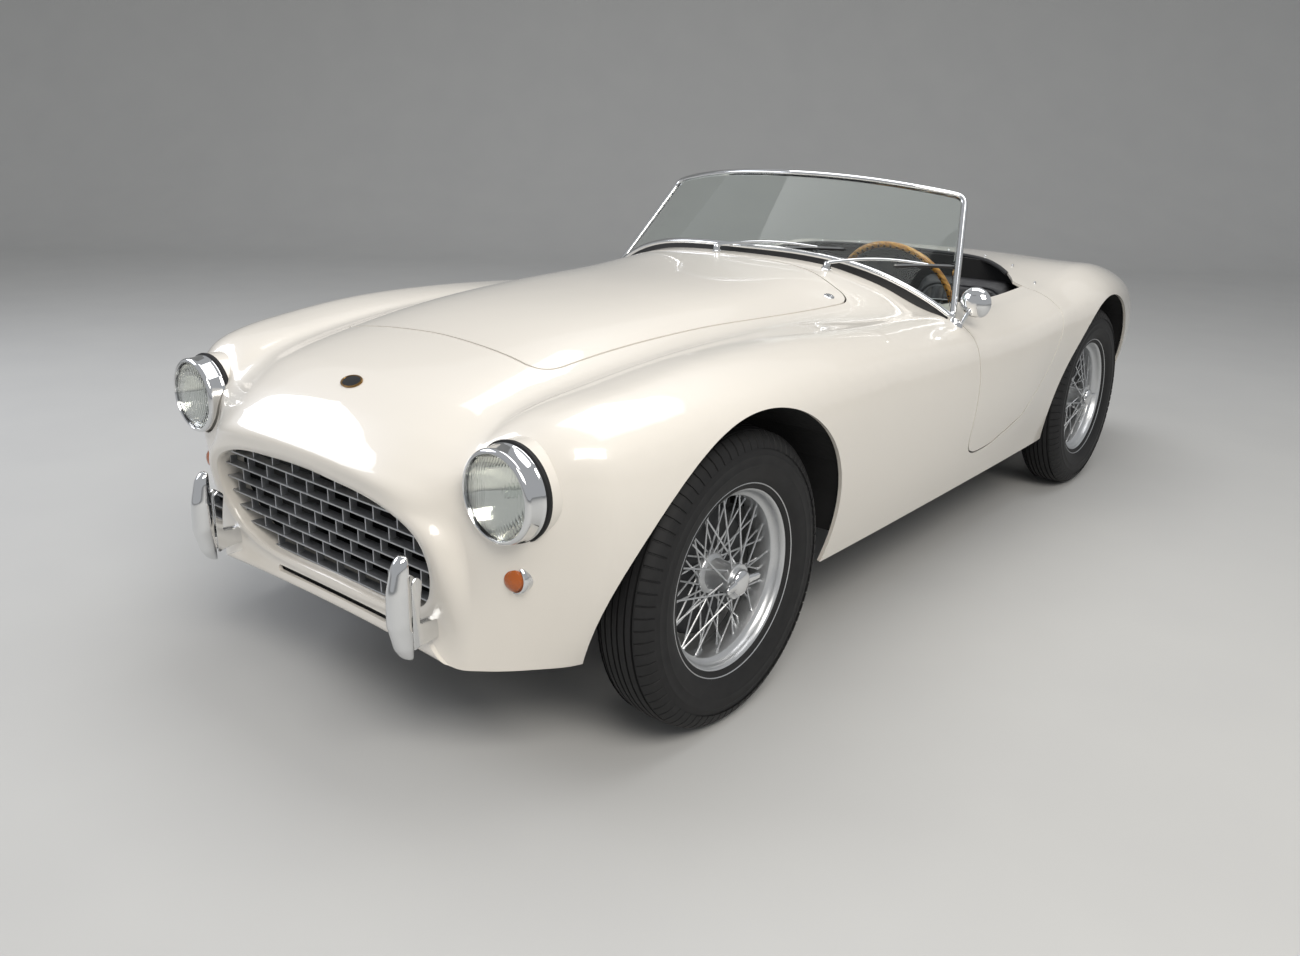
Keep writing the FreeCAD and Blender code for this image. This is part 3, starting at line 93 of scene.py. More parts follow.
def blend_weights(steps):
    """Weights of the fourteen control points at each point of a rounded section."""
    weights = [np.eye(14)[0]]
    for i in range(1, 13):
        start = np.eye(14)[0] if i == 1 else (np.eye(14)[i - 1] + np.eye(14)[i]) / 2
        end = np.eye(14)[13] if i == 12 else (np.eye(14)[i] + np.eye(14)[i + 1]) / 2
        for k in range(1, steps + 1):
            t = k / steps
            weights.append(start * (1 - t) ** 2 + np.eye(14)[i] * 2 * t * (1 - t) + end * t * t)
    return np.array(weights)


def skin_grid(stations, steps=COLUMN_STEPS):
    """Points of the outer skin, one row a station, from the right sill edge to the left one."""
    nets = []
    for station in stations:
        row = section_row(station)
        lead = (row[1], row[1] / 2, 0, 0, 0, 0, 0)
        half = np.array([at(row[2 + 2 * i], station - lead[i], row[3 + 2 * i]) for i in range(7)])
        nets.append(np.concatenate([half[::-1] * (-1, 1, 1), half]))
    return np.einsum("mk,nkc->nmc", blend_weights(steps), np.array(nets))


def grid_normals(grid):
    """Outward direction at each point of a grid of the skin."""
    normals = np.cross(np.gradient(grid, axis=1), np.gradient(grid, axis=0))
    normals /= np.linalg.norm(normals, axis=2, keepdims=True)
    middle = normals[len(normals) // 2, normals.shape[1] // 2]
    return normals if middle[2] > 0 else -normals


def grid_faces(rows, columns, first=0, wrap=False):
    """Quads over a grid of points that are numbered row by row."""
    faces = []
    for i in range(rows - 1):
        for j in range(columns if wrap else columns - 1):
            a, b = first + i * columns + j, first + i * columns + (j + 1) % columns
            faces.append((a, b, b + columns, a + columns))
    return faces


def new_piece(name, points, faces, finish=None, sharp=35, outwards=True):
    """Mesh object at the origin, merged, with its faces outwards and its edges sharp past an angle."""
    mesh = bpy.data.meshes.new(name)
    mesh.from_pydata([tuple(p) for p in points], [], faces)
    work = bmesh.new()
    work.from_mesh(mesh)
    bmesh.ops.remove_doubles(work, verts=work.verts, dist=1e-5)
    bmesh.ops.dissolve_degenerate(work, edges=work.edges, dist=1e-6)
    if outwards:
        bmesh.ops.recalc_face_normals(work, faces=work.faces)
    work.to_mesh(mesh)
    work.free()
    mesh.polygons.foreach_set("use_smooth", [True] * len(mesh.polygons))
    if sharp:
        mesh.set_sharp_from_angle(angle=math.radians(sharp))
    piece = bpy.data.objects.new(name, mesh)
    bpy.context.scene.collection.objects.link(piece)
    if finish:
        mesh.materials.append(finish)
    return piece


def settle(piece):
    """Applies the piece's modifiers, so that it's a plain mesh."""
    bpy.context.view_layer.update()
    made = bpy.data.meshes.new_from_object(piece.evaluated_get(bpy.context.evaluated_depsgraph_get()))
    piece.modifiers.clear()
    piece.data = made
    return piece


def cut(piece, cutters, operation="DIFFERENCE"):
    """Cuts a closed piece with other closed ones, or keeps what it shares with them."""
    for cutter in cutters:
        step = piece.modifiers.new("cut", "BOOLEAN")
        step.operation = operation
        step.solver = "EXACT"
        step.object = cutter
    settle(piece)
    for cutter in cutters:
        bpy.data.objects.remove(cutter)
    return piece


def joined(name, pieces, finish=None):
    """One object out of several, which go."""
    work = bmesh.new()
    for piece in pieces:
        work.from_mesh(piece.data)
    mesh = bpy.data.meshes.new(name)
    work.to_mesh(mesh)
    work.free()
    for old in pieces[0].data.materials:
        mesh.materials.append(old)
    for piece in pieces:
        bpy.data.objects.remove(piece)
    whole = bpy.data.objects.new(name, mesh)
    bpy.context.scene.collection.objects.link(whole)
    if finish:
        mesh.materials.clear()
        mesh.materials.append(finish)
    return whole


def rounded(outline, radius, steps=12):
    """Outline with its corners rounded by short curves."""
    out = []
    for i, corner in enumerate(outline):
        p, a, c = (np.array(q, float) for q in (corner, outline[i - 1], outline[(i + 1) % len(outline)]))
        start = p + (a - p) * min(radius / np.linalg.norm(a - p), 0.45)
        end = p + (c - p) * min(radius / np.linalg.norm(c - p), 0.45)
        for k in range(steps + 1):
            t = k / steps
            out.append(start * (1 - t) ** 2 + p * 2 * t * (1 - t) + end * t * t)
    return np.array(out)


def grown(outline, by):
    """Outline moved outwards, by less than its smallest corner's radius."""
    outline = np.array(outline)
    ahead = np.roll(outline, -1, 0) - np.roll(outline, 1, 0)
    ahead /= np.linalg.norm(ahead, axis=1, keepdims=True)
    x, y = outline.T
    area = np.sum(x * np.roll(y, -1) - np.roll(x, -1) * y)
    return outline + np.stack([ahead[:, 1], -ahead[:, 0]], 1) * by * np.sign(area)


def prism(near, far):
    """Closed solid between two loops of the same number of points."""
    n = len(near)
    faces = [tuple(range(n)), tuple(range(n, 2 * n))]
    faces += [(k, (k + 1) % n, n + (k + 1) % n, n + k) for k in range(n)]
    return new_piece("cutter", list(near) + list(far), faces)


def plan_prism(outline, low, high):
    return prism(*([at(x, s, z) for x, s in outline] for z in (low, high)))


def disc(x0, x1, y, z, radius, sides=160):
    """Round solid across the car, between two x."""
    turns = np.arange(sides) * math.tau / sides
    return prism(*([(x, y + radius * math.cos(t), z + radius * math.sin(t)) for t in turns]
                   for x in (x0, x1)))


BONNET = rounded([(352, -250), (395, 250), (478, 815), (300, 872), (0, 885), (-300, 872), (-478, 815),
                  (-395, 250), (-352, -250), (0, -228)], 60)
BOOT_LID = rounded([(395, 2250), (400, 2560), (340, 2820), (0, 2880), (-340, 2820), (-400, 2560),
                    (-395, 2250), (0, 2225)], 70)
COCKPIT = rounded([(560, 1120), (585, 1480), (555, 1830), (340, 2010), (0, 2040), (-340, 2010),
                   (-555, 1830), (-585, 1480), (-560, 1120), (0, 1010)], 90)
DOOR = rounded([(1143, 900), (1143, 440), (1162, 385), (1215, 362), (1330, 362), (1579, 412), (1726, 527),
                (1820, 676), (1850, 745), (1850, 900)], 40)
MOUTH = rounded([(388, 458), (354, 368), (250, 320), (-250, 320), (-354, 368), (-388, 458), (-366, 534),
                 (-250, 578), (0, 594), (250, 578), (366, 534)], 80)
MOUTH_MIDDLE = 452
MOUTH_LOW, MOUTH_LEAN, MOUTH_STATION = 318, 0.2, -552
DOOR_SHEAR = 0.14


def mouth_ring(angles, wider, deeper):
    """Loop parallel to the mouth's edge, seen from each of the angles about its middle."""
    edge = np.concatenate([MOUTH + (np.roll(MOUTH, -1, 0) - MOUTH) * k / 12 for k in range(12)])
    edge = edge - (0, MOUTH_MIDDLE)
    turns = np.arctan2(edge[:, 1], edge[:, 0])
    order = np.argsort(turns)
    reach = np.interp(angles, turns[order], np.linalg.norm(edge, axis=1)[order], period=math.tau) + wider
    z = MOUTH_MIDDLE + reach * np.sin(angles)
    lean = MOUTH_STATION - (z - MOUTH_LOW) * MOUTH_LEAN
    return np.array([at(r * math.cos(a), s + deeper, h) for r, a, s, h in zip(reach, angles, lean, z)])


def shell(first, last, outer, inner, nose=False):
    """Closed part of the skin between two stations and two depths, in metres."""
    edges = np.arange(math.ceil((first + 1) / 20) * 20, last, 20)
    fine = np.arange(NOSE, -380, 6) if first < -380 else []
    stations = sorted({float(first), float(last), *(float(s) for s in edges if s > -380), *map(float, fine)})
    grid = skin_grid(stations)
    normals = grid_normals(grid)
    layers = [grid - normals * outer, grid - normals * inner]
    if nose:
        for layer, depth in zip(layers, (0.009, 0)):
            # the tail closes in a low dome about the middle of its lower edge
            ring = layer[-1]
            middle = np.array((0, ring[0, 1], ring[0, 2]))
            dome = []
            for k in range(1, 25):
                share = 1 - k / 24
                out = depth * math.sqrt(1 - share ** 6)
                dome.append(middle + (ring - middle) * share + (0, out, 0))
            layers[0 if depth else 1] = np.concatenate([layer, dome])
    rows, columns = layers[0].shape[:2]
    count = rows * columns
    points = list(layers[0].reshape(-1, 3)) + list(layers[1].reshape(-1, 3))
    faces = grid_faces(rows, columns) + grid_faces(rows, columns, count)
    for j in (0, columns - 1):
        faces += [(i * columns + j, (i + 1) * columns + j, count + (i + 1) * columns + j,
                   count + i * columns + j) for i in range(rows - 1)]
    if not nose:
        for i in (0, rows - 1):
            faces += [(i * columns + j, i * columns + j + 1, count + i * columns + j + 1,
                       count + i * columns + j) for j in range(columns - 1)]
        return new_piece("shell", points, faces)
    # the nose rolls from the first section and the chin's line into the mouth and its short duct
    chin = 24
    turn = layers[0][0][-1], layers[0][0][0]
    line = np.array([turn[0] + (turn[1] - turn[0]) * k / chin for k in range(1, chin)])
    base = len(points)
    points += list(line) + list(line + (0, 0, SKIN))
    outer_ring = list(range(columns)) + list(range(base, base + chin - 1))
    inner_ring = list(range(count, count + columns)) + list(range(base + chin - 1, base + 2 * chin - 2))
    start = np.array([points[k] for k in outer_ring])
    ahead = np.concatenate([layers[0][0] - layers[0][1], np.tile((0, -1.0, 0.12), (chin - 1, 1))])
    ahead /= np.linalg.norm(ahead, axis=1, keepdims=True)
    angles = np.arctan2(start[:, 2] - MOUTH_MIDDLE / 1000, start[:, 0])
    lip = mouth_ring(angles, 22, -8)
    outside = mouth_ring(angles, 32, -7) - lip
    outside /= np.linalg.norm(outside, axis=1, keepdims=True)
    far = np.linalg.norm(lip - start, axis=1, keepdims=True)
    rings = []
    for k in range(1, 15):
        t = k / 14
        rings.append(start * (1 - t) ** 3 + (start + ahead * far * 0.42) * 3 * t * (1 - t) ** 2
                     + (lip + outside * far * 0.42) * 3 * t * t * (1 - t) + lip * t ** 3)
    # a flat rolled band round the mouth, then the inner corner and the duct
    rings += [mouth_ring(angles, *pair) for pair in ((18, -8.5), (12, -8), (6, -6.5))]
    for turn in np.radians((30, 60, 90)):
        rings.append(mouth_ring(angles, 3 - 7 * math.sin(turn), 3 - 9 * math.cos(turn)))
    rings += [mouth_ring(angles, *pair) for pair in ((-6, 20), (-9, 58), (1, 58), (8, 12), (15, 0))]
    loops = [outer_ring]
    for ring in rings:
        loops.append(list(range(len(points), len(points) + len(ring))))
        points += list(ring)
    loops.append(inner_ring)
    for one, two in zip(loops, loops[1:]):
        faces += [(one[j], one[(j + 1) % len(one)], two[(j + 1) % len(one)], two[j]) for j in range(len(one))]
    under = [count // rows - 1] + outer_ring[columns:] + [0]
    over = [count + columns - 1] + inner_ring[columns:] + [count]
    faces += [(under[k], under[k + 1], over[k + 1], over[k]) for k in range(len(under) - 1)]
    return new_piece("shell", points, faces)


def linear(code, alpha=1.0):
    """Linear colour of an sRGB hex code."""
    parts = [int(code[k:k + 2], 16) / 255 for k in (1, 3, 5)]
    return [c / 12.92 if c <= 0.04045 else ((c + 0.055) / 1.055) ** 2.4 for c in parts] + [alpha]


def add_node(tree, kind, settings=None, inputs=None):
    """Adds a node with its settings; an input is a value, or the socket that feeds it."""
    node = tree.nodes.new(kind)
    for name, value in (settings or {}).items():
        setattr(node, name, value)
    for key, value in (inputs or {}).items():
        if isinstance(value, bpy.types.NodeSocket):
            tree.links.new(value, node.inputs[key])
        else:
            node.inputs[key].default_value = value
    return node


def new_finish(name, **values):
    """Material whose shader has these values on its own sockets."""
    finish = bpy.data.materials.new(name)
    finish.use_nodes = True
    shader = finish.node_tree.nodes["Principled BSDF"]
    for key, value in values.items():
        shader.inputs[key.replace("_", " ")].default_value = value
    return finish, finish.node_tree, shader


# Cellulose enamel, warm white, sprayed and flatted by hand, then waxed: a deep clean gloss with a
# faint orange peel 6 mm across and a slow drift of tone over the panels
enamel, tree, shader = new_finish("cellulose_enamel_sprayed", Roughness=0.32, Coat_Weight=1.0,
                                  Coat_Roughness=0.03, IOR=1.5)
place = add_node(tree, "ShaderNodeTexCoord")
drift = add_node(tree, "ShaderNodeTexNoise", inputs={"Vector": place.outputs["Object"], "Scale": 1.6,
                                                     "Detail": 2.0})
tone = add_node(tree, "ShaderNodeMix", {"data_type": "RGBA"},
                {"Factor": drift.outputs["Fac"], 6: linear("#E9E4DB"), 7: linear("#E4DED4")})
tree.links.new(tone.outputs[2], shader.inputs["Base Color"])
peel = add_node(tree, "ShaderNodeTexNoise", inputs={"Vector": place.outputs["Object"], "Scale": 160.0,
                                                    "Detail": 1.0})
skin_bump = add_node(tree, "ShaderNodeBump", inputs={"Height": peel.outputs["Fac"], "Strength": 0.012,
                                                     "Distance": 0.001})
tree.links.new(skin_bump.outputs["Normal"], shader.inputs["Normal"])

# the true surface, for the light on every painted panel
true_stations = np.concatenate([np.arange(NOSE, -380, 4), np.arange(-380, TAIL, 12), [TAIL]])
true_grid = skin_grid(true_stations, 12)
true_normals = grid_normals(true_grid).reshape(-1, 3)
true_quads = grid_faces(*true_grid.shape[:2])
true_skin = BVHTree.FromPolygons([tuple(p) for p in true_grid.reshape(-1, 3)], true_quads)


def light_as_skin(piece):
    """Gives the faces on the outer skin the smooth surface's own normals."""
    mesh = piece.data
    mesh.polygons.foreach_set("use_smooth", [True] * len(mesh.polygons))
    mesh.set_sharp_from_angle(angle=math.radians(32))
    wanted = [(0.0, 0.0, 0.0)] * len(mesh.loops)
    found = {}
    for face in mesh.polygons:
        for k in face.loop_indices:
            v = mesh.loops[k].vertex_index
            if v not in found:
                spot, flat, index, away = true_skin.find_nearest(mesh.vertices[v].co, 0.004)
                found[v] = None
                if index is not None and away < 0.0015:
                    corners = true_quads[index]
                    weight = [1 / ((spot - Vector(true_grid.reshape(-1, 3)[c])).length + 1e-6) for c in corners]
                    found[v] = Vector(sum(true_normals[c] * w for c, w in zip(corners, weight))).normalized()
            if found[v] and found[v].dot(face.normal) > 0.9:
                wanted[k] = tuple(found[v])
    mesh.normals_split_custom_set(wanted)
    return piece


def lamp_disc(radius, front, back):
    """Round solid about the left headlamp's line, between two depths from its face."""
    turns = np.arange(96) * math.tau / 96
    return prism(*([at(LAMP_X + radius * math.cos(t), LAMP_FACE + d, LAMP_Z + radius * math.sin(t)) for t in turns]
                   for d in (front, back)))


def mirror_points(piece):
    """Copy of a piece on the car's other side."""
    twin = bpy.data.objects.new(piece.name + "_right", piece.data.copy())
    bpy.context.scene.collection.objects.link(twin)
    twin.data.transform(Matrix.Scale(-1, 4, (1, 0, 0)))
    twin.data.flip_normals()
    return twin


LAMP_X, LAMP_FACE, LAMP_Z, LAMP_R = 538, -509, 636, 93
ARCH = 0.392


def door_prism(outline):
    """Sheared solid across the left flank behind an outline of (station, height) points."""
    near = [at(780, s, z) for s, z in outline]
    far = [at(500, s + (500 - 780) * DOOR_SHEAR, z) for s, z in outline]
    return prism(near, far)


body = shell(NOSE, TAIL, 0, SKIN, nose=True)
collar = cut(lamp_disc(LAMP_R + 3, 0, 70), [lamp_disc(LAMP_R - 10, -10, 80)])
collar_right = mirror_points(collar)
cut(body, [collar, collar_right], "UNION")
lamp = lamp_disc(LAMP_R + 2, -150, 0)
throat = lamp_disc(LAMP_R - 10, -60, 62)
slot_end = np.linspace(-90, 90, 13)
SLOT_Z = 288
slot_line = [(195 + 7 * math.cos(a), SLOT_Z + 7 * math.sin(a)) for a in np.radians(slot_end)]
slot_line += [(-x, 2 * SLOT_Z - z) for x, z in slot_line]
slot = prism([at(x, -610, z) for x, z in slot_line], [at(x, -500, z) for x, z in slot_line])
arch_cutters = [disc(s * 0.5, s * 1.0, y, AXLE_Z, ARCH) for s in (-1, 1) for y in (FRONT_AXLE_Y, REAR_AXLE_Y)]
cut(body, [mirror_points(lamp), lamp, mirror_points(throat), throat, slot, *arch_cutters,
           plan_prism(grown(BONNET, GAP), 560, 1000), plan_prism(grown(BOOT_LID, GAP), 560, 1000),
           plan_prism(COCKPIT, 500, 1100)])
door_hole = door_prism(grown(DOOR, GAP))
cut(body, [mirror_points(door_hole), door_hole])
body.name = "body_shell"
body.data.materials.append(enamel)
light_as_skin(body)
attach(body, "car")
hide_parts("front_body", "sills", "rear_body")

# BONNET AND BOOT LID. Single-curved alloy skins on gooseneck hinges at their front edges. Two small
# chromed turn-fasteners hold the bonnet's rear corners, and a chromed T-handle locks the boot.


def hinge_arms(node, name):
    """The narrow hinge arms of a lid, copied from its CAD node."""
    work = bmesh.new()
    work.from_mesh(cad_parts[node].data)
    bmesh.ops.remove_doubles(work, verts=work.verts, dist=2e-6)
    seen, wide = set(), []
    for start in work.verts:
        if start in seen:
            continue
        island, queue = [], [start]
        seen.add(start)
        while queue:
            v = queue.pop()
            island.append(v)
            for edge in v.link_edges:
                other = edge.other_vert(v)
                if other not in seen:
                    seen.add(other)
                    queue.append(other)
        reach = [v.co.x for v in island]
        if max(reach) - min(reach) > 0.1:
            wide += island
    bmesh.ops.delete(work, geom=wide, context="VERTS")
    mesh = bpy.data.meshes.new(name)
    work.to_mesh(mesh)
    work.free()
    arms = bpy.data.objects.new(name, mesh)
    bpy.context.scene.collection.objects.link(arms)
    return arms


# Chassis enamel, brushed on black: half gloss with broad brush marks 2 mm apart
black_steel, tree, shader = new_finish("chassis_enamel_black", Roughness=0.42, Base_Color=linear("#17181A"))
place = add_node(tree, "ShaderNodeTexCoord")
marks = add_node(tree, "ShaderNodeMapping", inputs={"Vector": place.outputs["Object"], "Scale": (60, 500, 500)})
brush = add_node(tree, "ShaderNodeTexNoise", inputs={"Vector": marks.outputs[0], "Scale": 1.0, "Detail": 3.0})
dull = add_node(tree, "ShaderNodeMapRange", inputs={"Value": brush.outputs["Fac"], "To Min": 0.3, "To Max": 0.58})
tree.links.new(dull.outputs[0], shader.inputs["Roughness"])
relief = add_node(tree, "ShaderNodeBump", inputs={"Height": brush.outputs["Fac"], "Strength": 0.25,
                                                  "Distance": 0.0004})
tree.links.new(relief.outputs["Normal"], shader.inputs["Normal"])

# Chromium plate over polished brass: a near mirror, with a faint haze of polishing in places
chrome, tree, shader = new_finish("chromium_plate_polished", Metallic=1.0, Base_Color=linear("#E4E5E6"))
place = add_node(tree, "ShaderNodeTexCoord")
haze = add_node(tree, "ShaderNodeTexNoise", inputs={"Vector": place.outputs["Object"], "Scale": 22.0,
                                                    "Detail": 4.0})
rough = add_node(tree, "ShaderNodeMapRange", inputs={"Value": haze.outputs["Fac"], "From Min": 0.45,
                                                     "To Min": 0.035, "To Max": 0.11})
tree.links.new(rough.outputs[0], shader.inputs["Roughness"])

LIDS = (("bonnet", -320, 943, BONNET), ("boot_lid", 2090, TAIL, BOOT_LID))
for node, first, last, outline in LIDS:
    lid = shell(first, last, 0, SKIN)
    cut(lid, [plan_prism(outline, 560, 1000)], "INTERSECT")
    lid.name = node + "_skin"
    lid.data.materials.append(enamel)
    light_as_skin(lid)
    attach(lid, node)
    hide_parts(node)
    arms = hinge_arms(node, node + "_hinge_arms")
    arms.data.materials.clear()
    arms.data.materials.append(black_steel)
    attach(arms, node)


def lathe(profile, steps=48):
    """Surface of revolution about +X, through (distance along, radius) points."""
    turns = np.arange(steps) * math.tau / steps
    points = [(a, r * math.cos(t), r * math.sin(t)) for t in turns for a, r in profile]
    n = len(profile)
    faces = [(i * n + j, i * n + j + 1, (i + 1) % steps * n + j + 1, (i + 1) % steps * n + j)
             for i in range(steps) for j in range(n - 1)]
    return np.array(points), faces


def turned(name, profile, centre, axis, finish, steps=48, sharp=35):
    """A turned piece about a line; the profile is in millimetres along the axis and from it."""
    points, faces = lathe([(a / 1000, r / 1000) for a, r in profile], steps)
    turn = np.array(Vector((1, 0, 0)).rotation_difference(Vector(axis)).to_matrix())
    return new_piece(name, points @ turn.T + np.array(centre), faces, finish, sharp)


def surface_spot(x, station):
    """Point and outward direction on the skin over a place in plan, in millimetres."""
    guess = at(x, station, 1400)
    spot, flat, index, away = true_skin.ray_cast(Vector(guess), Vector((0, 0, -1)))
    return np.array(spot), np.array(flat if flat.z > 0 else -flat)


fasteners = []
for x in (-432, 432):
    spot, up = surface_spot(x, 770)
    fasteners.append(turned("escutcheon", [(-2, 0), (-2, 15), (1.2, 15), (2.4, 13), (2.6, 8), (1.6, 7.6),
                                           (1.6, 0)], spot, up, chrome, 32))
    bar_line = [(-0.0085, -0.0017), (-0.0085, 0.0017), (0.0085, 0.0017), (0.0085, -0.0017)]
    side = np.cross(up, (0, 1, 0))
    side /= np.linalg.norm(side)
    ahead = np.cross(up, side)
    key = prism([spot + up * 0.0012 + side * a + ahead * b for a, b in bar_line],
                [spot + up * 0.0045 + side * a * 0.9 + ahead * b * 0.8 for a, b in bar_line])
    fasteners.append(key)
fasteners = joined("bonnet_fasteners", fasteners, chrome)
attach(fasteners, "bonnet")
spot, up = surface_spot(0, 2838)
handle = [turned("boss", [(-2, 0), (-2, 17), (3, 17), (6, 12), (14, 9), (16, 0)], spot, up, chrome, 32)]
grip = [(-0.045, 0.006), (-0.04, 0.010), (0, 0.012), (0.04, 0.010), (0.045, 0.006)]
rings = []
for x, r in grip:
    turns = np.arange(20) * math.tau / 20
    rings += [spot + up * 0.019 + (x, r * 0.9 * math.cos(t), r * 0.6 * math.sin(t)) for t in turns]
faces = grid_faces(5, 20, wrap=True) + [tuple(range(20)), tuple(range(80, 100))]
handle.append(new_piece("grip", rings, faces))
handle = joined("boot_handle", handle, chrome)
handle.data.polygons.foreach_set("use_smooth", [True] * len(handle.data.polygons))
handle.data.set_sharp_from_angle(angle=math.radians(35))
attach(handle, "boot_lid")

# DOORS. Alloy skins clinched over a light frame, hung inside the front shut line and closed on a
# striker. They have no outside handles; the inside is a flat pad trimmed in black leathercloth.

# Leathercloth, black, pressed with a fine hide grain 1.2 mm across: dull with a soft low sheen
leathercloth, tree, shader = new_finish("leathercloth_black_grained", Roughness=0.55,
                                        Base_Color=linear("#1B1B1D"), Sheen_Weight=0.1)
place = add_node(tree, "ShaderNodeTexCoord")
grain = add_node(tree, "ShaderNodeTexVoronoi", {"feature": "DISTANCE_TO_EDGE"},
                 {"Vector": place.outputs["Object"], "Scale": 420.0})
crease = add_node(tree, "ShaderNodeMapRange", inputs={"Value": grain.outputs["Distance"], "From Max": 0.25})
relief = add_node(tree, "ShaderNodeBump", inputs={"Height": crease.outputs[0], "Strength": 0.35,
                                                  "Distance": 0.0006})
tree.links.new(relief.outputs["Normal"], shader.inputs["Normal"])


def cockpit_side(piece):
    """Keeps what lies outside the cockpit's straight sides."""
    box = prism([(0.575, at(0, 1000, 0)[1], 0.3), (0.575, at(0, 2200, 0)[1], 0.3),
                 (0.575, at(0, 2200, 0)[1], 0.9), (0.575, at(0, 1000, 0)[1], 0.9)],
                [(0.975, at(0, 1000, 0)[1], 0.3), (0.975, at(0, 2200, 0)[1], 0.3),
                 (0.975, at(0, 2200, 0)[1], 0.9), (0.975, at(0, 1000, 0)[1], 0.9)])
    return cut(piece, [box], "INTERSECT")


# dark leathercloth strips just behind the door shut lines: a seal, and also painted shade that makes the gaps read
# dark
seal = cut(shell(1060, 1903, 0.003, SKIN), [door_prism(grown(DOOR, GAP + 0.4))], "INTERSECT")
cut(seal, [door_prism(grown(DOOR, 2.4))])
cockpit_side(seal)
seal.data.materials.append(leathercloth)
seals = joined("door_seals", [mirror_points(seal), seal], leathercloth)
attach(seals, "car")
door = cut(shell(1060, 1903, 0, SKIN), [door_prism(DOOR)], "INTERSECT")
cockpit_side(door)
door.name = "door_left_skin"
door.data.materials.append(enamel)
pad = cut(shell(1060, 1903, SKIN - 0.0005, 0.052), [door_prism(grown(DOOR, -18))], "INTERSECT")
cockpit_side(pad)
pad.name = "door_left_pad"
pad.data.materials.append(leathercloth)
pad.data.set_sharp_from_angle(angle=math.radians(30))
for side, mirror in (("left", False), ("right", True)):
    panel = mirror_points(door) if mirror else door
    inside = mirror_points(pad) if mirror else pad
    panel.name, inside.name = "door_%s_skin" % side, "door_%s_pad" % side
    light_as_skin(panel)
    body_name = "door_" + side
    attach(panel, body_name)
    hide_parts(body_name)
    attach(inside, body_name)

# GRILLE. An egg-crate of extruded aluminium: level slats that follow the mouth's lean, with short
# upright fins staggered from row to row, riveted to a strip round the inside of the duct.

# Aluminium, satin: scratch-brushed along the slats, so soft grey with streaks 0.5 mm apart
satin_aluminium, tree, shader = new_finish("aluminium_satin_brushed", Metallic=0.8, Roughness=0.42,
                                           Base_Color=linear("#B4B6B9"))
place = add_node(tree, "ShaderNodeTexCoord")
lay = add_node(tree, "ShaderNodeMapping", inputs={"Vector": place.outputs["Object"], "Scale": (12, 900, 900)})
streak = add_node(tree, "ShaderNodeTexNoise", inputs={"Vector": lay.outputs[0], "Scale": 1.0, "Detail": 2.0})
rough = add_node(tree, "ShaderNodeMapRange", inputs={"Value": streak.outputs["Fac"], "To Min": 0.28,
                                                     "To Max": 0.5})
tree.links.new(rough.outputs[0], shader.inputs["Roughness"])


def new_plan(name, sizes):
    """Empty geometry tree with these named inputs, and its input and output nodes."""
    plan = bpy.data.node_groups.new(name, "GeometryNodeTree")
    plan.interface.new_socket("Geometry", in_out="INPUT", socket_type="NodeSocketGeometry")
    for label, kind in sizes:
        plan.interface.new_socket(label, in_out="INPUT", socket_type="NodeSocket" + kind)
    plan.interface.new_socket("Geometry", in_out="OUTPUT", socket_type="NodeSocketGeometry")
    return plan, plan.nodes.new("NodeGroupInput").outputs, plan.nodes.new("NodeGroupOutput").inputs


def run_plan(piece, plan, **sizes):
    """Runs a geometry tree on a piece and leaves the plain mesh."""
    step = piece.modifiers.new(plan.name, "NODES")
    step.node_group = plan
    for socket in plan.interface.items_tree:
        key = socket.name.replace(" ", "_")
        if socket.in_out == "INPUT" and key in sizes:
            step[socket.identifier] = sizes[key]
    return settle(piece)


crate, given, result = new_plan("egg_crate", (("Rows", "Int"), ("Pitch", "Float"), ("Lean", "Float"),
                                              ("Depth", "Float"), ("Thickness", "Float"),
                                              ("Fins", "Int"), ("Fin pitch", "Float"),
                                              ("Low", "Vector"), ("Finish", "Material")))
pitch_step = add_node(crate, "ShaderNodeMath", {"operation": "MULTIPLY"}, {0: given["Pitch"], 1: given["Lean"]})
back_step = add_node(crate, "ShaderNodeMath", {"operation": "MULTIPLY"}, {0: pitch_step.outputs[0], 1: -1.0})
step_up = add_node(crate, "ShaderNodeCombineXYZ", inputs={"Y": back_step.outputs[0], "Z": given["Pitch"]})
rows = add_node(crate, "GeometryNodeMeshLine", {"mode": "OFFSET"},
                {"Count": given["Rows"], "Start Location": given["Low"], "Offset": step_up.outputs[0]})
slat_size = add_node(crate, "ShaderNodeCombineXYZ", inputs={"X": 0.8, "Y": given["Depth"], "Z": given["Thickness"]})
slat = add_node(crate, "GeometryNodeMeshCube", inputs={"Size": slat_size.outputs[0]})
slats = add_node(crate, "GeometryNodeInstanceOnPoints", inputs={"Points": rows.outputs[0],
                                                               "Instance": slat.outputs[0]})
fin_rows = add_node(crate, "ShaderNodeMath", {"operation": "SUBTRACT"}, {0: given["Rows"], 1: 1.0})
fin_count = add_node(crate, "ShaderNodeMath", {"operation": "MULTIPLY"}, {0: fin_rows.outputs[0],
                                                                         1: given["Fins"]})
fin_line = add_node(crate, "GeometryNodeMeshLine", inputs={"Count": fin_count.outputs[0]})
index = add_node(crate, "GeometryNodeInputIndex")
ratio = add_node(crate, "ShaderNodeMath", {"operation": "DIVIDE"}, {0: index.outputs[0], 1: given["Fins"]})
row = add_node(crate, "ShaderNodeMath", {"operation": "FLOOR"}, {0: ratio.outputs[0]})
column = add_node(crate, "ShaderNodeMath", {"operation": "MODULO"}, {0: index.outputs[0], 1: given["Fins"]})
odd = add_node(crate, "ShaderNodeMath", {"operation": "MODULO"}, {0: row.outputs[0], 1: 2.0})
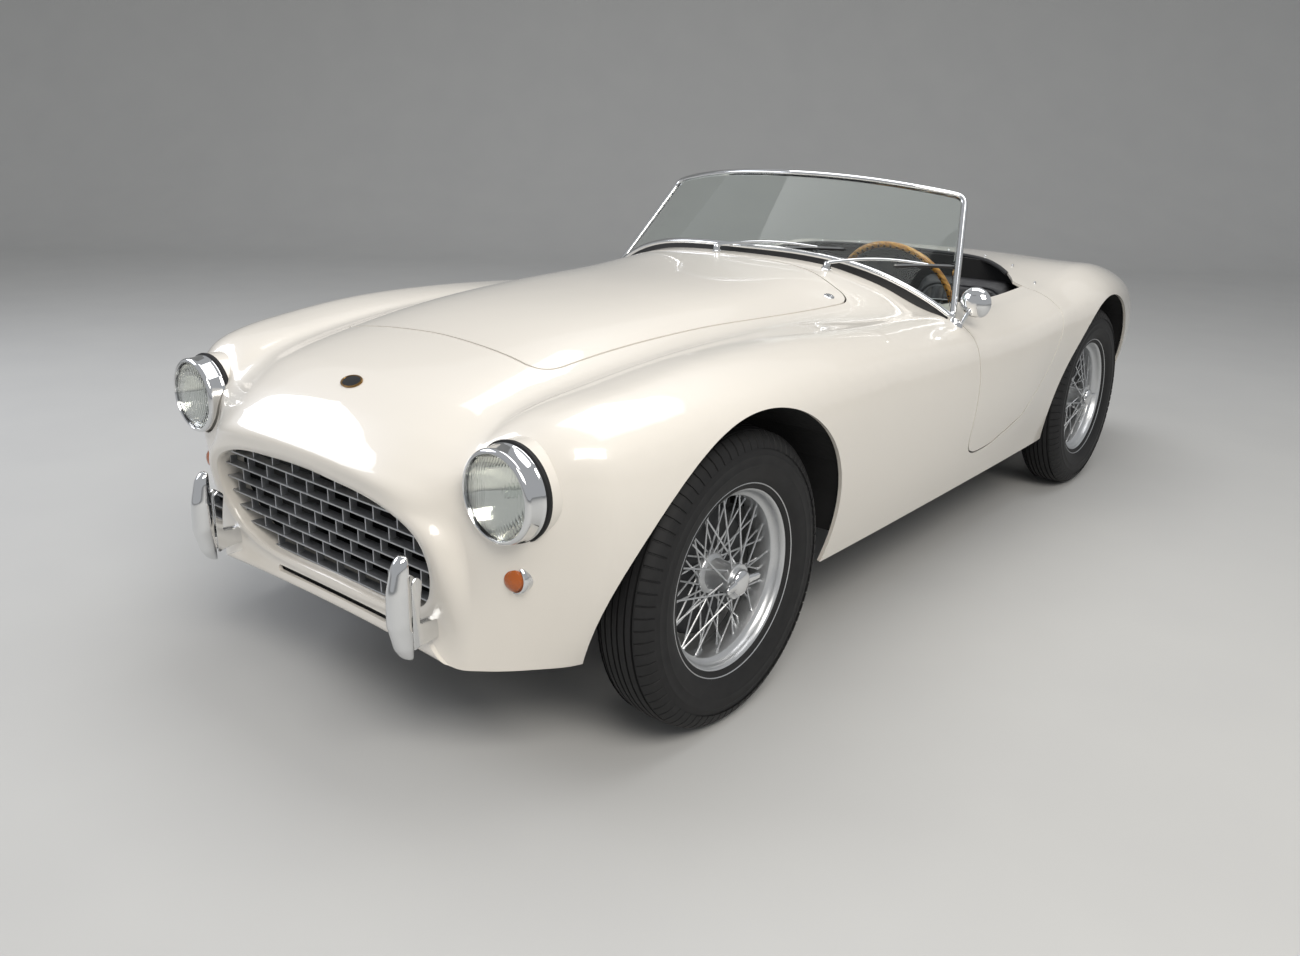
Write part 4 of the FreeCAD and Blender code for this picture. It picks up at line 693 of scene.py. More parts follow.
shift = add_node(crate, "ShaderNodeMath", {"operation": "MULTIPLY_ADD"}, {0: odd.outputs[0], 1: 0.5,
                                                                         2: column.outputs[0]})
middle = add_node(crate, "ShaderNodeMath", {"operation": "MULTIPLY_ADD"}, {0: given["Fins"], 1: -0.5,
                                                                          2: shift.outputs[0]})
fin_x = add_node(crate, "ShaderNodeMath", {"operation": "MULTIPLY"}, {0: middle.outputs[0],
                                                                     1: given["Fin pitch"]})
half_row = add_node(crate, "ShaderNodeMath", {"operation": "ADD"}, {0: row.outputs[0], 1: 0.5})
rise = add_node(crate, "ShaderNodeVectorMath", {"operation": "SCALE"}, {0: step_up.outputs[0],
                                                                       "Scale": half_row.outputs[0]})
fin_side = add_node(crate, "ShaderNodeCombineXYZ", inputs={"X": fin_x.outputs[0], "Y": 0.003})
fin_from = add_node(crate, "ShaderNodeVectorMath", {"operation": "ADD"}, {0: rise.outputs[0],
                                                                         1: fin_side.outputs[0]})
fin_at = add_node(crate, "ShaderNodeVectorMath", {"operation": "ADD"}, {0: fin_from.outputs[0],
                                                                       1: given["Low"]})
fin_places = add_node(crate, "GeometryNodeSetPosition", inputs={"Geometry": fin_line.outputs[0],
                                                               "Position": fin_at.outputs[0]})
fin_depth = add_node(crate, "ShaderNodeMath", {"operation": "SUBTRACT"}, {0: given["Depth"], 1: 0.010})
fin_size = add_node(crate, "ShaderNodeCombineXYZ", inputs={"X": given["Thickness"], "Y": fin_depth.outputs[0],
                                                           "Z": given["Pitch"]})
fin = add_node(crate, "GeometryNodeMeshCube", inputs={"Size": fin_size.outputs[0]})
fins = add_node(crate, "GeometryNodeInstanceOnPoints", inputs={"Points": fin_places.outputs[0],
                                                              "Instance": fin.outputs[0]})
whole = crate.nodes.new("GeometryNodeJoinGeometry")
for part in (slats, fins):
    crate.links.new(part.outputs[0], whole.inputs[0])
real = add_node(crate, "GeometryNodeRealizeInstances", inputs={"Geometry": whole.outputs[0]})
painted = add_node(crate, "GeometryNodeSetMaterial", inputs={"Geometry": real.outputs[0],
                                                            "Material": given["Finish"]})
crate.links.new(painted.outputs[0], result["Geometry"])

PITCH = 272 / 7.4
low = at(0, MOUTH_STATION - 0.2 * PITCH * MOUTH_LEAN + 14 + 13, MOUTH_LOW + 0.2 * PITCH + 1.75)
grille = new_piece("grille_crate", [(0, 0, 0)], [], None, sharp=0)
run_plan(grille, crate, Rows=8, Pitch=PITCH / 1000, Lean=MOUTH_LEAN, Depth=0.026, Thickness=0.0035, Fins=10,
         Fin_pitch=0.078, Low=tuple(low), Finish=satin_aluminium)
round_angles = np.arange(180) * math.tau / 180
mouth_room = prism(mouth_ring(round_angles, -1.2, 4), mouth_ring(round_angles, -6.4, 57))
step = grille.modifiers.new("cut", "BOOLEAN")
step.operation, step.solver, step.use_self, step.object = "INTERSECT", "EXACT", True, mouth_room
clean = grille.modifiers.new("weld", "WELD")
clean.merge_threshold = 0.0002
flat = grille.modifiers.new("flat", "DECIMATE")
flat.decimate_type, flat.angle_limit = "DISSOLVE", math.radians(1)
settle(grille)
# only the slats' long front edges are rounded
work = bmesh.new()
work.from_mesh(grille.data)
edge_weight = work.edges.layers.float.new("bevel_weight_edge")
for edge in work.edges:
    long_across = abs(edge.verts[0].co.x - edge.verts[1].co.x) > 0.02
    at_front = any(face.normal.y < -0.9 for face in edge.link_faces)
    edge[edge_weight] = 1.0 if long_across and at_front and edge.calc_face_angle(0) > 1 else 0.0
work.to_mesh(grille.data)
work.free()
soften = grille.modifiers.new("edges", "BEVEL")
soften.width, soften.segments, soften.limit_method = 0.0009, 2, "WEIGHT"
settle(grille)
bpy.data.objects.remove(mouth_room)
grille.data.polygons.foreach_set("use_smooth", [True] * len(grille.data.polygons))
grille.data.set_sharp_from_angle(angle=math.radians(40))
if not grille.data.materials:
    grille.data.materials.append(satin_aluminium)
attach(grille, "car")
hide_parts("grille")

# HEADLAMPS. A chromed brass rim clamps a domed lens of fluted glass against a silvered bowl with a
# bulb in a bayonet holder; a black rubber gasket seats the rim on the wing.

# Rubber, black, moulded: dull, with a fine bloom in patches 30 mm across
rubber, tree, shader = new_finish("rubber_black_moulded", Roughness=0.6, Base_Color=linear("#161617"),
                                  Specular_IOR_Level=0.35)
place = add_node(tree, "ShaderNodeTexCoord")
bloom = add_node(tree, "ShaderNodeTexNoise", inputs={"Vector": place.outputs["Object"], "Scale": 34.0,
                                                     "Detail": 5.0})
tone = add_node(tree, "ShaderNodeMix", {"data_type": "RGBA"},
                {"Factor": bloom.outputs["Fac"], 6: linear("#121213"), 7: linear("#232324")})
tree.links.new(tone.outputs[2], shader.inputs["Base Color"])

# Pressed lamp glass, clear, with fine flutes 3.5 mm apart moulded into it
lamp_glass, tree, shader = new_finish("lamp_glass_pressed", Roughness=0.02, IOR=1.33, Transmission_Weight=1.0,
                                      Base_Color=linear("#F7FAF8"))
place = add_node(tree, "ShaderNodeTexCoord")
flutes = add_node(tree, "ShaderNodeTexWave", {"wave_type": "BANDS", "bands_direction": "X",
                                              "wave_profile": "SIN"},
                  {"Vector": place.outputs["Object"], "Scale": 45.0})
relief = add_node(tree, "ShaderNodeBump", inputs={"Height": flutes.outputs["Fac"], "Strength": 0.35,
                                                  "Distance": 0.001})
tree.links.new(relief.outputs["Normal"], shader.inputs["Normal"])

# Reflector, brass silvered inside: a full mirror, very slightly warm
silvered, tree, shader = new_finish("reflector_silvered", Metallic=1.0, Roughness=0.05,
                                    Base_Color=linear("#F5F3EE"))
place = add_node(tree, "ShaderNodeTexCoord")
ripple = add_node(tree, "ShaderNodeTexNoise", inputs={"Vector": place.outputs["Object"], "Scale": 40.0})
relief = add_node(tree, "ShaderNodeBump", inputs={"Height": ripple.outputs["Fac"], "Strength": 0.1,
                                                  "Distance": 0.002})
tree.links.new(relief.outputs["Normal"], shader.inputs["Normal"])

AHEAD = (0, -1, 0)
lamp_at = at(LAMP_X, LAMP_FACE, LAMP_Z)
lamp_pieces = (
    ("lamp_gaskets", rubber, "headlamp_rims", "black_plastic", None,
     [(-6, 88), (-6, 96.5), (0, 98), (3, 97), (4, 94), (3.6, 90), (3, 88), (-6, 88)]),
    ("lamp_rims", chrome, "headlamp_rims", "chrome", "headlamp_rims",
     [(4, 80.5), (4, 93), (6, 94), (9, 93.6), (11, 92), (14, 91.6), (36, 90.5), (40, 91.2), (43, 90.6), (46, 88),
      (48, 84.5), (48.2, 82), (46, 80.5), (4, 80.5)]),
    ("lamp_lenses", lamp_glass, "headlamp_lenses", "clear_glass", "headlamp_lenses",
     [(34, 0), (33.6, 30), (31.8, 55), (29.5, 70), (28, 80), (40, 80), (42.5, 76), (47.5, 64), (51.5, 48),
      (54, 30), (55, 14), (55.2, 0)]),
    ("lamp_reflectors", silvered, "headlamp_bowls", "reflector", "headlamp_bowls",
     [(26, 80), (20, 76), (4, 66), (-12, 51), (-22, 36), (-28, 20), (-30, 12), (-30, 0), (-33, 0), (-33, 22),
      (-26, 39), (-16, 54), (2, 71), (20, 80), (26, 80)]),
    ("lamp_bulbs", lamp_glass, None, "clear_glass", None,
     [(-30, 0), (-30, 7), (-16, 7), (-10, 11), (0, 13), (8, 10), (12, 4), (13, 0)]),
)
for name, finish, node, slot_name, stands_for, profile in lamp_pieces:
    left = turned(name, profile, lamp_at, AHEAD, finish, 96)
    pair = joined(name, [mirror_points(left), left])
    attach(pair, "car")
    if stands_for:
        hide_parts(stands_for)

# INDICATORS AND TAIL LAMPS. Moulded acrylic lenses in small chromed bezels, each screwed through the
# skin on a rubber seat. The front ones are amber, the rear ones red.
LENS_CODES = (("amber_lens", "acrylic_amber_moulded", "#C8661A"), ("red_lens", "acrylic_red_moulded", "#8E1210"))
lens_finishes = {}
for slot_name, title, code in LENS_CODES:
    # Acrylic, moulded: a clear deep colour with rings 3 mm apart moulded inside
    lens_finishes[slot_name], tree, shader = new_finish(title, Roughness=0.1, IOR=1.49, Transmission_Weight=0.35,
                                                        Base_Color=linear(code), Coat_Weight=0.5)
    place = add_node(tree, "ShaderNodeTexCoord")
    cells = add_node(tree, "ShaderNodeTexVoronoi", inputs={"Vector": place.outputs["Object"], "Scale": 260.0})
    relief = add_node(tree, "ShaderNodeBump", inputs={"Height": cells.outputs["Distance"], "Strength": 0.5,
                                                      "Distance": 0.002})
    tree.links.new(relief.outputs["Normal"], shader.inputs["Normal"])
SMALL_LAMPS = (
    ("indicator", at(541, -507, 467), AHEAD, "amber_lens", "indicators",
     [(-46, 0), (-46, 24), (4, 26), (13, 24), (19, 17), (22.5, 8), (23.5, 0)],
     [(-40, 27), (-40, 29), (0, 33), (4, 33), (7, 31), (8, 28), (6, 26), (-40, 26)]),
    ("tail_lamp", at(545, 3085, 540), (0.25, 1, 0.1), "red_lens", "tail_lamps",
     [(-30, 0), (-30, 26), (6, 27), (15, 23), (21, 15), (23.4, 7), (24, 0)],
     [(-30, 28), (-30, 31), (4, 34), (8, 33.5), (11, 31), (11.5, 28), (9, 27), (-30, 27)]),
)
for name, centre, axis, slot_name, node, lens_profile, bezel_profile in SMALL_LAMPS:
    for kind, profile, finish, its_slot in (("lens", lens_profile, lens_finishes[slot_name], slot_name),
                                            ("bezel", bezel_profile, chrome, "chrome")):
        left = turned(name, profile, centre, Vector(axis).normalized(), finish, 64)
        pair = joined("%s_%s" % (name, kind), [mirror_points(left), left])
        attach(pair, "car")
        if kind == "lens":
            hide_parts(node)

# OVERRIDERS. Slim upright bars pressed from thick sheet and chromed, each on a flat steel bracket
# that passes through the skin to the chassis.


def swept(name, path, shape, finish, ups, closed=False, sharp=40, taper=None):
    """A shape of (side, over) points carried along a path; ups point over it."""
    path, ups = np.array(path, float), np.array(ups, float)
    count = len(path)
    if ups.ndim == 1:
        ups = np.tile(ups, (count, 1))
    before, after = np.roll(path, 1, 0), np.roll(path, -1, 0)
    if not closed:
        before[0], after[-1] = path[0], path[-1]
    ahead = after - before
    ahead /= np.linalg.norm(ahead, axis=1, keepdims=True)
    side = np.cross(ahead, ups)
    side /= np.linalg.norm(side, axis=1, keepdims=True)
    over = np.cross(side, ahead)
    scale = np.ones(count) if taper is None else np.array(taper, float)
    rings = [p + np.outer([q[0] for q in shape], s) * k + np.outer([q[1] for q in shape], o) * k
             for p, s, o, k in zip(path, side, over, scale)]
    n = len(shape)
    points = np.concatenate(rings)
    faces = grid_faces(count, n, wrap=True)
    if closed:
        faces += [((count - 1) * n + j, (count - 1) * n + (j + 1) % n, (j + 1) % n, j) for j in range(n)]
    else:
        faces += [tuple(range(n)), tuple(range((count - 1) * n, count * n))]
    return new_piece(name, points, faces, finish, sharp)


def oval(wide, high, sides=16):
    return [(wide * math.cos(k * math.tau / sides), high * math.sin(k * math.tau / sides)) for k in range(sides)]


OVERRIDER = ((284, 8, 13), (290, 18, 19), (310, 31, 23.5), (365, 46, 24.5), (430, 44, 23.5), (480, 31, 19),
             (496, 20, 15), (501, 12, 10))
for end, face, facing, stem_z, stem_end in (("front", -1.878, -1, 0.329, -1.79),
                                            ("rear", 1.878, 1, 0.411, 1.80)):
    heights = [q[0] for q in OVERRIDER]
    rings = []
    for z in np.linspace(284, 501, 34):
        bulge = np.interp(z, heights, [q[1] for q in OVERRIDER]) / 1000
        half = np.interp(z, heights, [q[2] for q in OVERRIDER]) / 1000
        arc = np.linspace(0, math.pi, 13)
        rings += [(0.364 + half * math.cos(t), face + facing * bulge * math.sin(t) ** 0.8, z / 1000) for t in arc]
    faces = grid_faces(34, 13, wrap=True) + [tuple(range(13)), tuple(range(33 * 13, 34 * 13))]
    bar = new_piece("bar", rings, faces, chrome, 50)
    smooth = bar.modifiers.new("smooth", "SUBSURF")
    smooth.levels = smooth.render_levels = 1
    settle(bar)
    pair = joined(end + "_overrider_bars", [mirror_points(bar), bar])
    pair.data.polygons.foreach_set("use_smooth", [True] * len(pair.data.polygons))
    pair.data.set_sharp_from_angle(angle=math.radians(50))
    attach(pair, "car")
    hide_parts(end + "_overriders")
    # a pressed bracket behind the bar: an upright web with a turned-in foot that bolts to the chassis
    web = rounded([(-4, 300), (-4, 440), (-17, 452), (-30, 440), (-24, 400), (-20, 352), (-80, 346), (-88, 318),
                   (-80, 312), (-20, 306)], 6)
    foot_rise = 0 if end == "front" else 82
    web = [(face + facing * a / 1000, (z + foot_rise * min(1, -a / 60)) / 1000) for a, z in web]
    plates = [prism([(x, y, z) for y, z in web], [(x + 0.004, y, z) for y, z in web]) for x in (0.352, 0.372)]
    stem = swept("stem", [(0.364, face + facing * 0.004, stem_z), (0.364, stem_end, stem_z)],
                 [(-0.009, -0.011), (0.009, -0.011), (0.009, 0.011), (-0.009, 0.011)], chrome, (0, 0, 1))
    plates.append(stem)
    for piece in plates:
        round_off = piece.modifiers.new("edges", "BEVEL")
        round_off.width, round_off.segments = 0.0012, 2
        settle(piece)
    bracket = joined("bracket", plates, chrome)
    stems = joined(end + "_overrider_brackets", [mirror_points(bracket), bracket], chrome)
    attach(stems, "car")

# NOSE BADGE. A small oval of bronze with a black enamel field, left bare, on the nose's centre line.
spot, up = surface_spot(0, -470)
badge_rings = []
for grow_by, rise in ((1, -1), (1, 2.2), (0.93, 3.2), (0.84, 3.2), (0.82, 2.4), (0.4, 2.8)):
    for t in np.arange(48) * math.tau / 48:
        side = np.cross(up, (1, 0, 0))
        badge_rings.append(spot + np.array((1, 0, 0)) * 0.032 * grow_by * math.cos(t)
                           + side * 0.020 * grow_by * math.sin(t) + up * rise / 1000)
badge = new_piece("nose_badge", badge_rings, grid_faces(6, 48, wrap=True) + [tuple(range(240, 288))], None, 30)
# Bronze with fired enamel: a dull gold rim about a glossy black field
bronze, tree, shader = new_finish("bronze_cast_polished", Metallic=1.0, Roughness=0.3,
                                  Base_Color=linear("#8A6A3C"))
place = add_node(tree, "ShaderNodeTexCoord")
tarnish = add_node(tree, "ShaderNodeTexNoise", inputs={"Vector": place.outputs["Object"], "Scale": 300.0})
tone = add_node(tree, "ShaderNodeMix", {"data_type": "RGBA"},
                {"Factor": tarnish.outputs["Fac"], 6: linear("#9C7A48"), 7: linear("#6A4F2A")})
tree.links.new(tone.outputs[2], shader.inputs["Base Color"])
enamel_black, tree, shader = new_finish("vitreous_enamel_black", Roughness=0.12, Base_Color=linear("#141414"))
place = add_node(tree, "ShaderNodeTexCoord")
pits = add_node(tree, "ShaderNodeTexNoise", inputs={"Vector": place.outputs["Object"], "Scale": 500.0})
relief = add_node(tree, "ShaderNodeBump", inputs={"Height": pits.outputs["Fac"], "Strength": 0.1,
                                                  "Distance": 0.0005})
tree.links.new(relief.outputs["Normal"], shader.inputs["Normal"])
badge.data.materials.append(bronze)
badge.data.materials.append(enamel_black)
for face in badge.data.polygons:
    off = (Vector(spot) - face.center)
    wide = math.hypot(off.x / 0.032, off.cross(Vector((1, 0, 0))).length / 0.020)
    face.material_index = 1 if wide < 0.8 else 0
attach(badge, "car")

# ROAD WHEELS. Crossply tyres on centre-lock wire wheels: a rolled steel rim laced with forty-eight
# spokes to a splined hub, held by a two-eared nut, all silver painted, over finned brake drums.

# Wheel paint, silver, stoved: bright grey metal flake under a thin lacquer
wheel_silver, tree, shader = new_finish("wheel_silver_stoved", Metallic=0.75, Roughness=0.3,
                                        Coat_Weight=0.4, Base_Color=linear("#C4C6C8"))
place = add_node(tree, "ShaderNodeTexCoord")
flake = add_node(tree, "ShaderNodeTexNoise", inputs={"Vector": place.outputs["Object"], "Scale": 700.0})
tone = add_node(tree, "ShaderNodeMix", {"data_type": "RGBA"},
                {"Factor": flake.outputs["Fac"], 6: linear("#B4B6B8"), 7: linear("#D6D8DA")})
tree.links.new(tone.outputs[2], shader.inputs["Base Color"])

# Drum iron, cast and turned: dark grey with a fine even grain
drum_iron, tree, shader = new_finish("drum_iron_cast", Metallic=0.6, Roughness=0.55,
                                     Base_Color=linear("#3C3D3F"))
place = add_node(tree, "ShaderNodeTexCoord")
cast = add_node(tree, "ShaderNodeTexNoise", inputs={"Vector": place.outputs["Object"], "Scale": 260.0,
                                                    "Detail": 4.0})
relief = add_node(tree, "ShaderNodeBump", inputs={"Height": cast.outputs["Fac"], "Strength": 0.5,
                                                  "Distance": 0.0008})
tree.links.new(relief.outputs["Normal"], shader.inputs["Normal"])

ring_plan, given, result = new_plan("ring_of_pieces", (("Count", "Int"), ("First turn", "Float"),
                                                       ("Finish", "Material")))
spots = add_node(ring_plan, "GeometryNodeMeshLine", inputs={"Count": given["Count"], "Offset": (0, 0, 0)})
index = add_node(ring_plan, "GeometryNodeInputIndex")
share = add_node(ring_plan, "ShaderNodeMath", {"operation": "DIVIDE"}, {0: index.outputs[0],
                                                                       1: given["Count"]})
turn = add_node(ring_plan, "ShaderNodeMath", {"operation": "MULTIPLY_ADD"}, {0: share.outputs[0], 1: math.tau,
                                                                            2: given["First turn"]})
about = add_node(ring_plan, "ShaderNodeCombineXYZ", inputs={"X": turn.outputs[0]})
ring = add_node(ring_plan, "GeometryNodeInstanceOnPoints", inputs={"Points": spots.outputs[0],
                                                                  "Instance": given["Geometry"],
                                                                  "Rotation": about.outputs[0]})
real = add_node(ring_plan, "GeometryNodeRealizeInstances", inputs={"Geometry": ring.outputs[0]})
painted = add_node(ring_plan, "GeometryNodeSetMaterial", inputs={"Geometry": real.outputs[0],
                                                                "Material": given["Finish"]})
ring_plan.links.new(painted.outputs[0], result["Geometry"])


def bar_points(line, radii, sides):
    """Rings of points round a straight run, one a radius."""
    line, out = np.array(line), []
    ahead = line[-1] - line[0]
    ahead = ahead / np.linalg.norm(ahead)
    side = np.cross(ahead, (1, 0, 0))
    side /= np.linalg.norm(side)
    over = np.cross(side, ahead)
    for p, r in zip(line, radii):
        out += [p + r * (side * math.cos(t) + over * math.sin(t)) for t in np.arange(sides) * math.tau / sides]
    return out


def laced(name, foot_x, foot_r, rim_x, lean, count, first):
    """One set of spokes: a wire with its head at the hub and its nipple in the rim's well."""
    inner, outer = foot_r - 0.004, 0.188
    start = np.array((foot_x, inner * math.sin(-lean), inner * math.cos(-lean)))
    end = np.array((rim_x, 0.0, outer))
    marks = (0.0, 0.93, 0.932, 0.985, 1.0)
    rings = bar_points([start + (end - start) * m for m in marks], (0.0022, 0.0022, 0.0033, 0.004, 0.004), 7)
    wire = new_piece(name, rings, grid_faces(5, 7, wrap=True) + [tuple(range(7)), tuple(range(28, 35))], None, 50)
    return run_plan(wire, ring_plan, Count=count, First_turn=first, Finish=wheel_silver)


TYRE_HALF = [(50, 204), (54, 207), (56.5, 212), (57.5, 219), (60, 223), (64, 229), (68, 237), (70.5, 246),
             (72.3, 256), (72.8, 259), (73.4, 260), (73.6, 263), (73.0, 264.5), (73, 272), (72.6, 279),
             (73.0, 280), (73.0, 283), (72.2, 284.2), (71, 293), (68.5, 303), (65.5, 310.5), (65, 311.5),
             (62.5, 316), (61, 317), (58, 320), (54, 324.5), (49, 328.5), (44, 331.4), (42.5, 331.8), (42, 326.5),
             (38.5, 326.8), (38, 333), (27, 335.4), (26.6, 329.5), (23, 329.8), (22.6, 335.9), (9.5, 336.8),
             (9, 330.8), (5.4, 330.9), (5, 337), (0, 337)]
RIM_HALF = [(0, 183), (20, 183), (24, 184.5), (27.5, 191), (31.5, 195.2), (40, 197), (47, 199.4), (50.5, 203.5),
            (52.2, 209), (53.2, 214.5), (55, 216.8), (57.4, 217.4), (58.6, 219), (57.8, 220.4), (55.6, 220.6),
            (52.6, 219), (50.8, 215), (49.8, 209), (47.5, 204.6), (44, 202), (34, 200), (28, 198), (22, 188.5),
            (18, 187), (0, 187)]


def both_halves(half):
    return half + [(-a, r) for a, r in reversed(half) if a > 0]


def about_axle(name, profile, finish, steps, sharp=30, closed=False):
    profile = both_halves(profile)
    if closed:
        profile = profile + profile[:1]
    points, faces = lathe([(a / 1000, r / 1000) for a, r in profile], steps)
    return new_piece(name, points, faces, finish, sharp)


tyre = about_axle("tyre", TYRE_HALF, rubber, 144, 32, closed=True)
lug_rows = []
for turn in np.radians((-2.1, -1.9, 1.9, 2.1)):
    lift = 0.0 if abs(turn) > math.radians(2) else 0.0024
    for a, r in ((70.2, 297.5), (68, 304), (64.5, 312.5), (60, 318.5), (54, 325), (48, 329.8), (46, 330.8)):
        away = np.array((a - 30, (r - 290))) / math.hypot(a - 30, r - 290)
        out = (r + away[1] * lift * 1000) / 1000
        lug_rows.append(((a + away[0] * lift * 1000) / 1000, out * math.sin(turn), out * math.cos(turn)))
lug = new_piece("lug", lug_rows, grid_faces(4, 7), None, 28, outwards=False)
lug_wall = lug.data.polygons[0].normal
if lug_wall.z < 0 and lug_wall.x < 0:
    lug.data.flip_normals()
lugs = run_plan(lug, ring_plan, Count=78, First_turn=0.0, Finish=rubber)
lugs_inner = mirror_points(lugs)
tyre = joined("tyre", [tyre, lugs, lugs_inner], rubber)

rim = about_axle("rim", RIM_HALF, wheel_silver, 128, 35, closed=True)
hub_profile = [(-22, 22.5), (-22, 44), (-20, 47), (-9, 47), (-6, 45), (-2, 36), (6, 34), (36, 32), (44, 33),
               (47, 38), (50, 39.5), (60, 39.5), (62, 37.5), (62, 22.5), (-22, 22.5)]
points, faces = lathe([(a / 1000, r / 1000) for a, r in hub_profile], 64)
hub = new_piece("hub", points, faces, wheel_silver, 35)
wires = []
for k in (0, 1):
    wires.append(laced("outer", (58 - 8 * k) / 1000, 0.038, (12 - 7 * k) / 1000, math.radians(34 - 68 * k), 8,
                       math.radians(22.5 * k)))
    wires.append(laced("inner", (-18 + 8 * (1 - k)) / 1000, 0.046, (-14 + 8 * (1 - k)) / 1000,
                       math.radians(38 - 76 * k), 16, math.radians(7.5 + 7.5 * k)))
spinner_boss = [(61, 22.5), (61, 27), (64, 29.5), (70, 29.5), (74, 27), (77, 22), (79, 12), (79.6, 0)]
points, faces = lathe([(a / 1000, r / 1000) for a, r in spinner_boss], 48)
boss = new_piece("boss", points, faces, chrome, 35)
ear_rows = []
for reach, wide_by, front, behind in ((12, 15, 76, 63), (24, 13.5, 76.5, 63), (38, 10.5, 77.5, 65),
                                      (50, 9.5, 79, 68), (58, 9, 79.6, 70), (62, 5, 79, 72)):
    loop = [(front, -wide_by * 0.6), (front + 0.6, 0), (front, wide_by * 0.6), ((front + behind) / 2, wide_by),
            (behind, wide_by * 0.6), (behind, -wide_by * 0.6), ((front + behind) / 2, -wide_by)]
    ear_rows += [(a / 1000, b / 1000, reach / 1000) for a, b in loop]
ear = new_piece("ear", ear_rows, grid_faces(6, 7, wrap=True) + [tuple(range(7)), tuple(range(35, 42))], None, 0)
fair = ear.modifiers.new("fair", "SUBSURF")
fair.levels = fair.render_levels = 2
settle(ear)
ears = run_plan(ear, ring_plan, Count=2, First_turn=math.pi / 2, Finish=chrome)
ears.data.polygons.foreach_set("use_smooth", [True] * len(ears.data.polygons))
spinner = joined("spinner", [boss, ears], chrome)
wheel = joined("wheel", [rim, hub, *wires], wheel_silver)

drum_profile = [(-74, 23), (-74, 140), (-72, 146), (-30, 146), (-26, 142), (-23, 134), (-22.6, 120), (-24, 112),
                (-24, 60), (-22.6, 52), (-22.6, 23), (-74, 23)]
points, faces = lathe([(a / 1000, r / 1000) for a, r in drum_profile], 96)
drum = new_piece("drum", points, faces, drum_iron, 30)
fin_line = [(-68, 144), (-68, 148), (-34, 148), (-30, 144)]
fin = prism([(a / 1000, -0.0016, r / 1000) for a, r in fin_line],
            [(a / 1000, 0.0016, r / 1000) for a, r in fin_line])
fins = run_plan(fin, ring_plan, Count=48, First_turn=0.0, Finish=drum_iron)
drum = joined("drum", [drum, fins], drum_iron)

for corner, side, axle_y in (("fl", 1, FRONT_AXLE_Y), ("fr", -1, FRONT_AXLE_Y), ("rl", 1, REAR_AXLE_Y),
                             ("rr", -1, REAR_AXLE_Y)):
    for source, name, slot_name, node in ((tyre, "road_tyre_", "tyre_rubber", "tyre_"),
                                          (wheel, "laced_wheel_", "wheel_silver", "wire_wheel_"),
                                          (spinner, "eared_nut_", "chrome", None),
                                          (drum, "finned_drum_", "drum_alloy", "brake_drum_")):
        piece = bpy.data.objects.new(name + corner, source.data.copy())
        bpy.context.scene.collection.objects.link(piece)
        if side < 0:
            piece.data.transform(Matrix.Scale(-1, 4, (1, 0, 0)))
            piece.data.flip_normals()
        piece.data.transform(Matrix.Translation((side * HALF_TRACK, axle_y, AXLE_Z)))
        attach(piece, "wheel_" + corner)
        if node:
            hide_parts(node + corner)
for source in (tyre, wheel, spinner, drum):
    bpy.data.objects.remove(source)

# WINDSCREEN. Curved laminated glass in a chromed brass channel: a top rail, two raked pillars with
# rounded corners, and a base rail bedded on a black rubber strip along the scuttle.


def base_point(u):
    return at(650 * u, 943 + 155 * u * u, 938 - 165 * abs(u) ** 3.2)


def top_point(u):
    return at(545 * u, 1203 + 145 * u * u, 1151 - 51 * abs(u) ** 2.2)


# Laminated glass, polished: clear, with a slight green cast
screen_glass, tree, shader = new_finish("laminated_glass_polished", Roughness=0.0, IOR=1.2,
                                        Transmission_Weight=1.0, Base_Color=linear("#F4FAF6"))
place = add_node(tree, "ShaderNodeTexCoord")
wave = add_node(tree, "ShaderNodeTexNoise", inputs={"Vector": place.outputs["Object"], "Scale": 3.0})
relief = add_node(tree, "ShaderNodeBump", inputs={"Height": wave.outputs["Fac"], "Strength": 0.02,
                                                  "Distance": 0.002})
tree.links.new(relief.outputs["Normal"], shader.inputs["Normal"])

spread = np.linspace(-0.982, 0.982, 49)
sheets = []
for side in (1, -1):
    lean = np.array((0, -side * 0.0025, side * 0.0015))
    sheets.append([[base_point(u) * (1 - k) + top_point(u) * k + lean for u in spread]
                   for k in np.linspace(0.02, 0.98, 9)])
points = [p for sheet_rows in sheets for row in sheet_rows for p in row]
count = 9 * 49
faces = grid_faces(9, 49) + grid_faces(9, 49, count)
rim_walk = ([(0, j) for j in range(49)] + [(i, 48) for i in range(1, 9)] + [(8, j) for j in range(47, -1, -1)]
            + [(i, 0) for i in range(7, 0, -1)])
ring = [i * 49 + j for i, j in rim_walk]
faces += [(a, b, count + b, count + a) for a, b in zip(ring, ring[1:] + ring[:1])]
glass = new_piece("windscreen_pane", points, faces, screen_glass, 40)
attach(glass, "car")
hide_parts("windscreen_glass")


def corner(a, b, c, near, steps=10):
    """Short curve that rounds the corner b between a and c."""
    start = b + (a - b) / np.linalg.norm(a - b) * near
    end = b + (c - b) / np.linalg.norm(c - b) * near
    return [start * (1 - t) ** 2 + b * 2 * t * (1 - t) + end * t * t for t in np.linspace(0, 1, steps)]


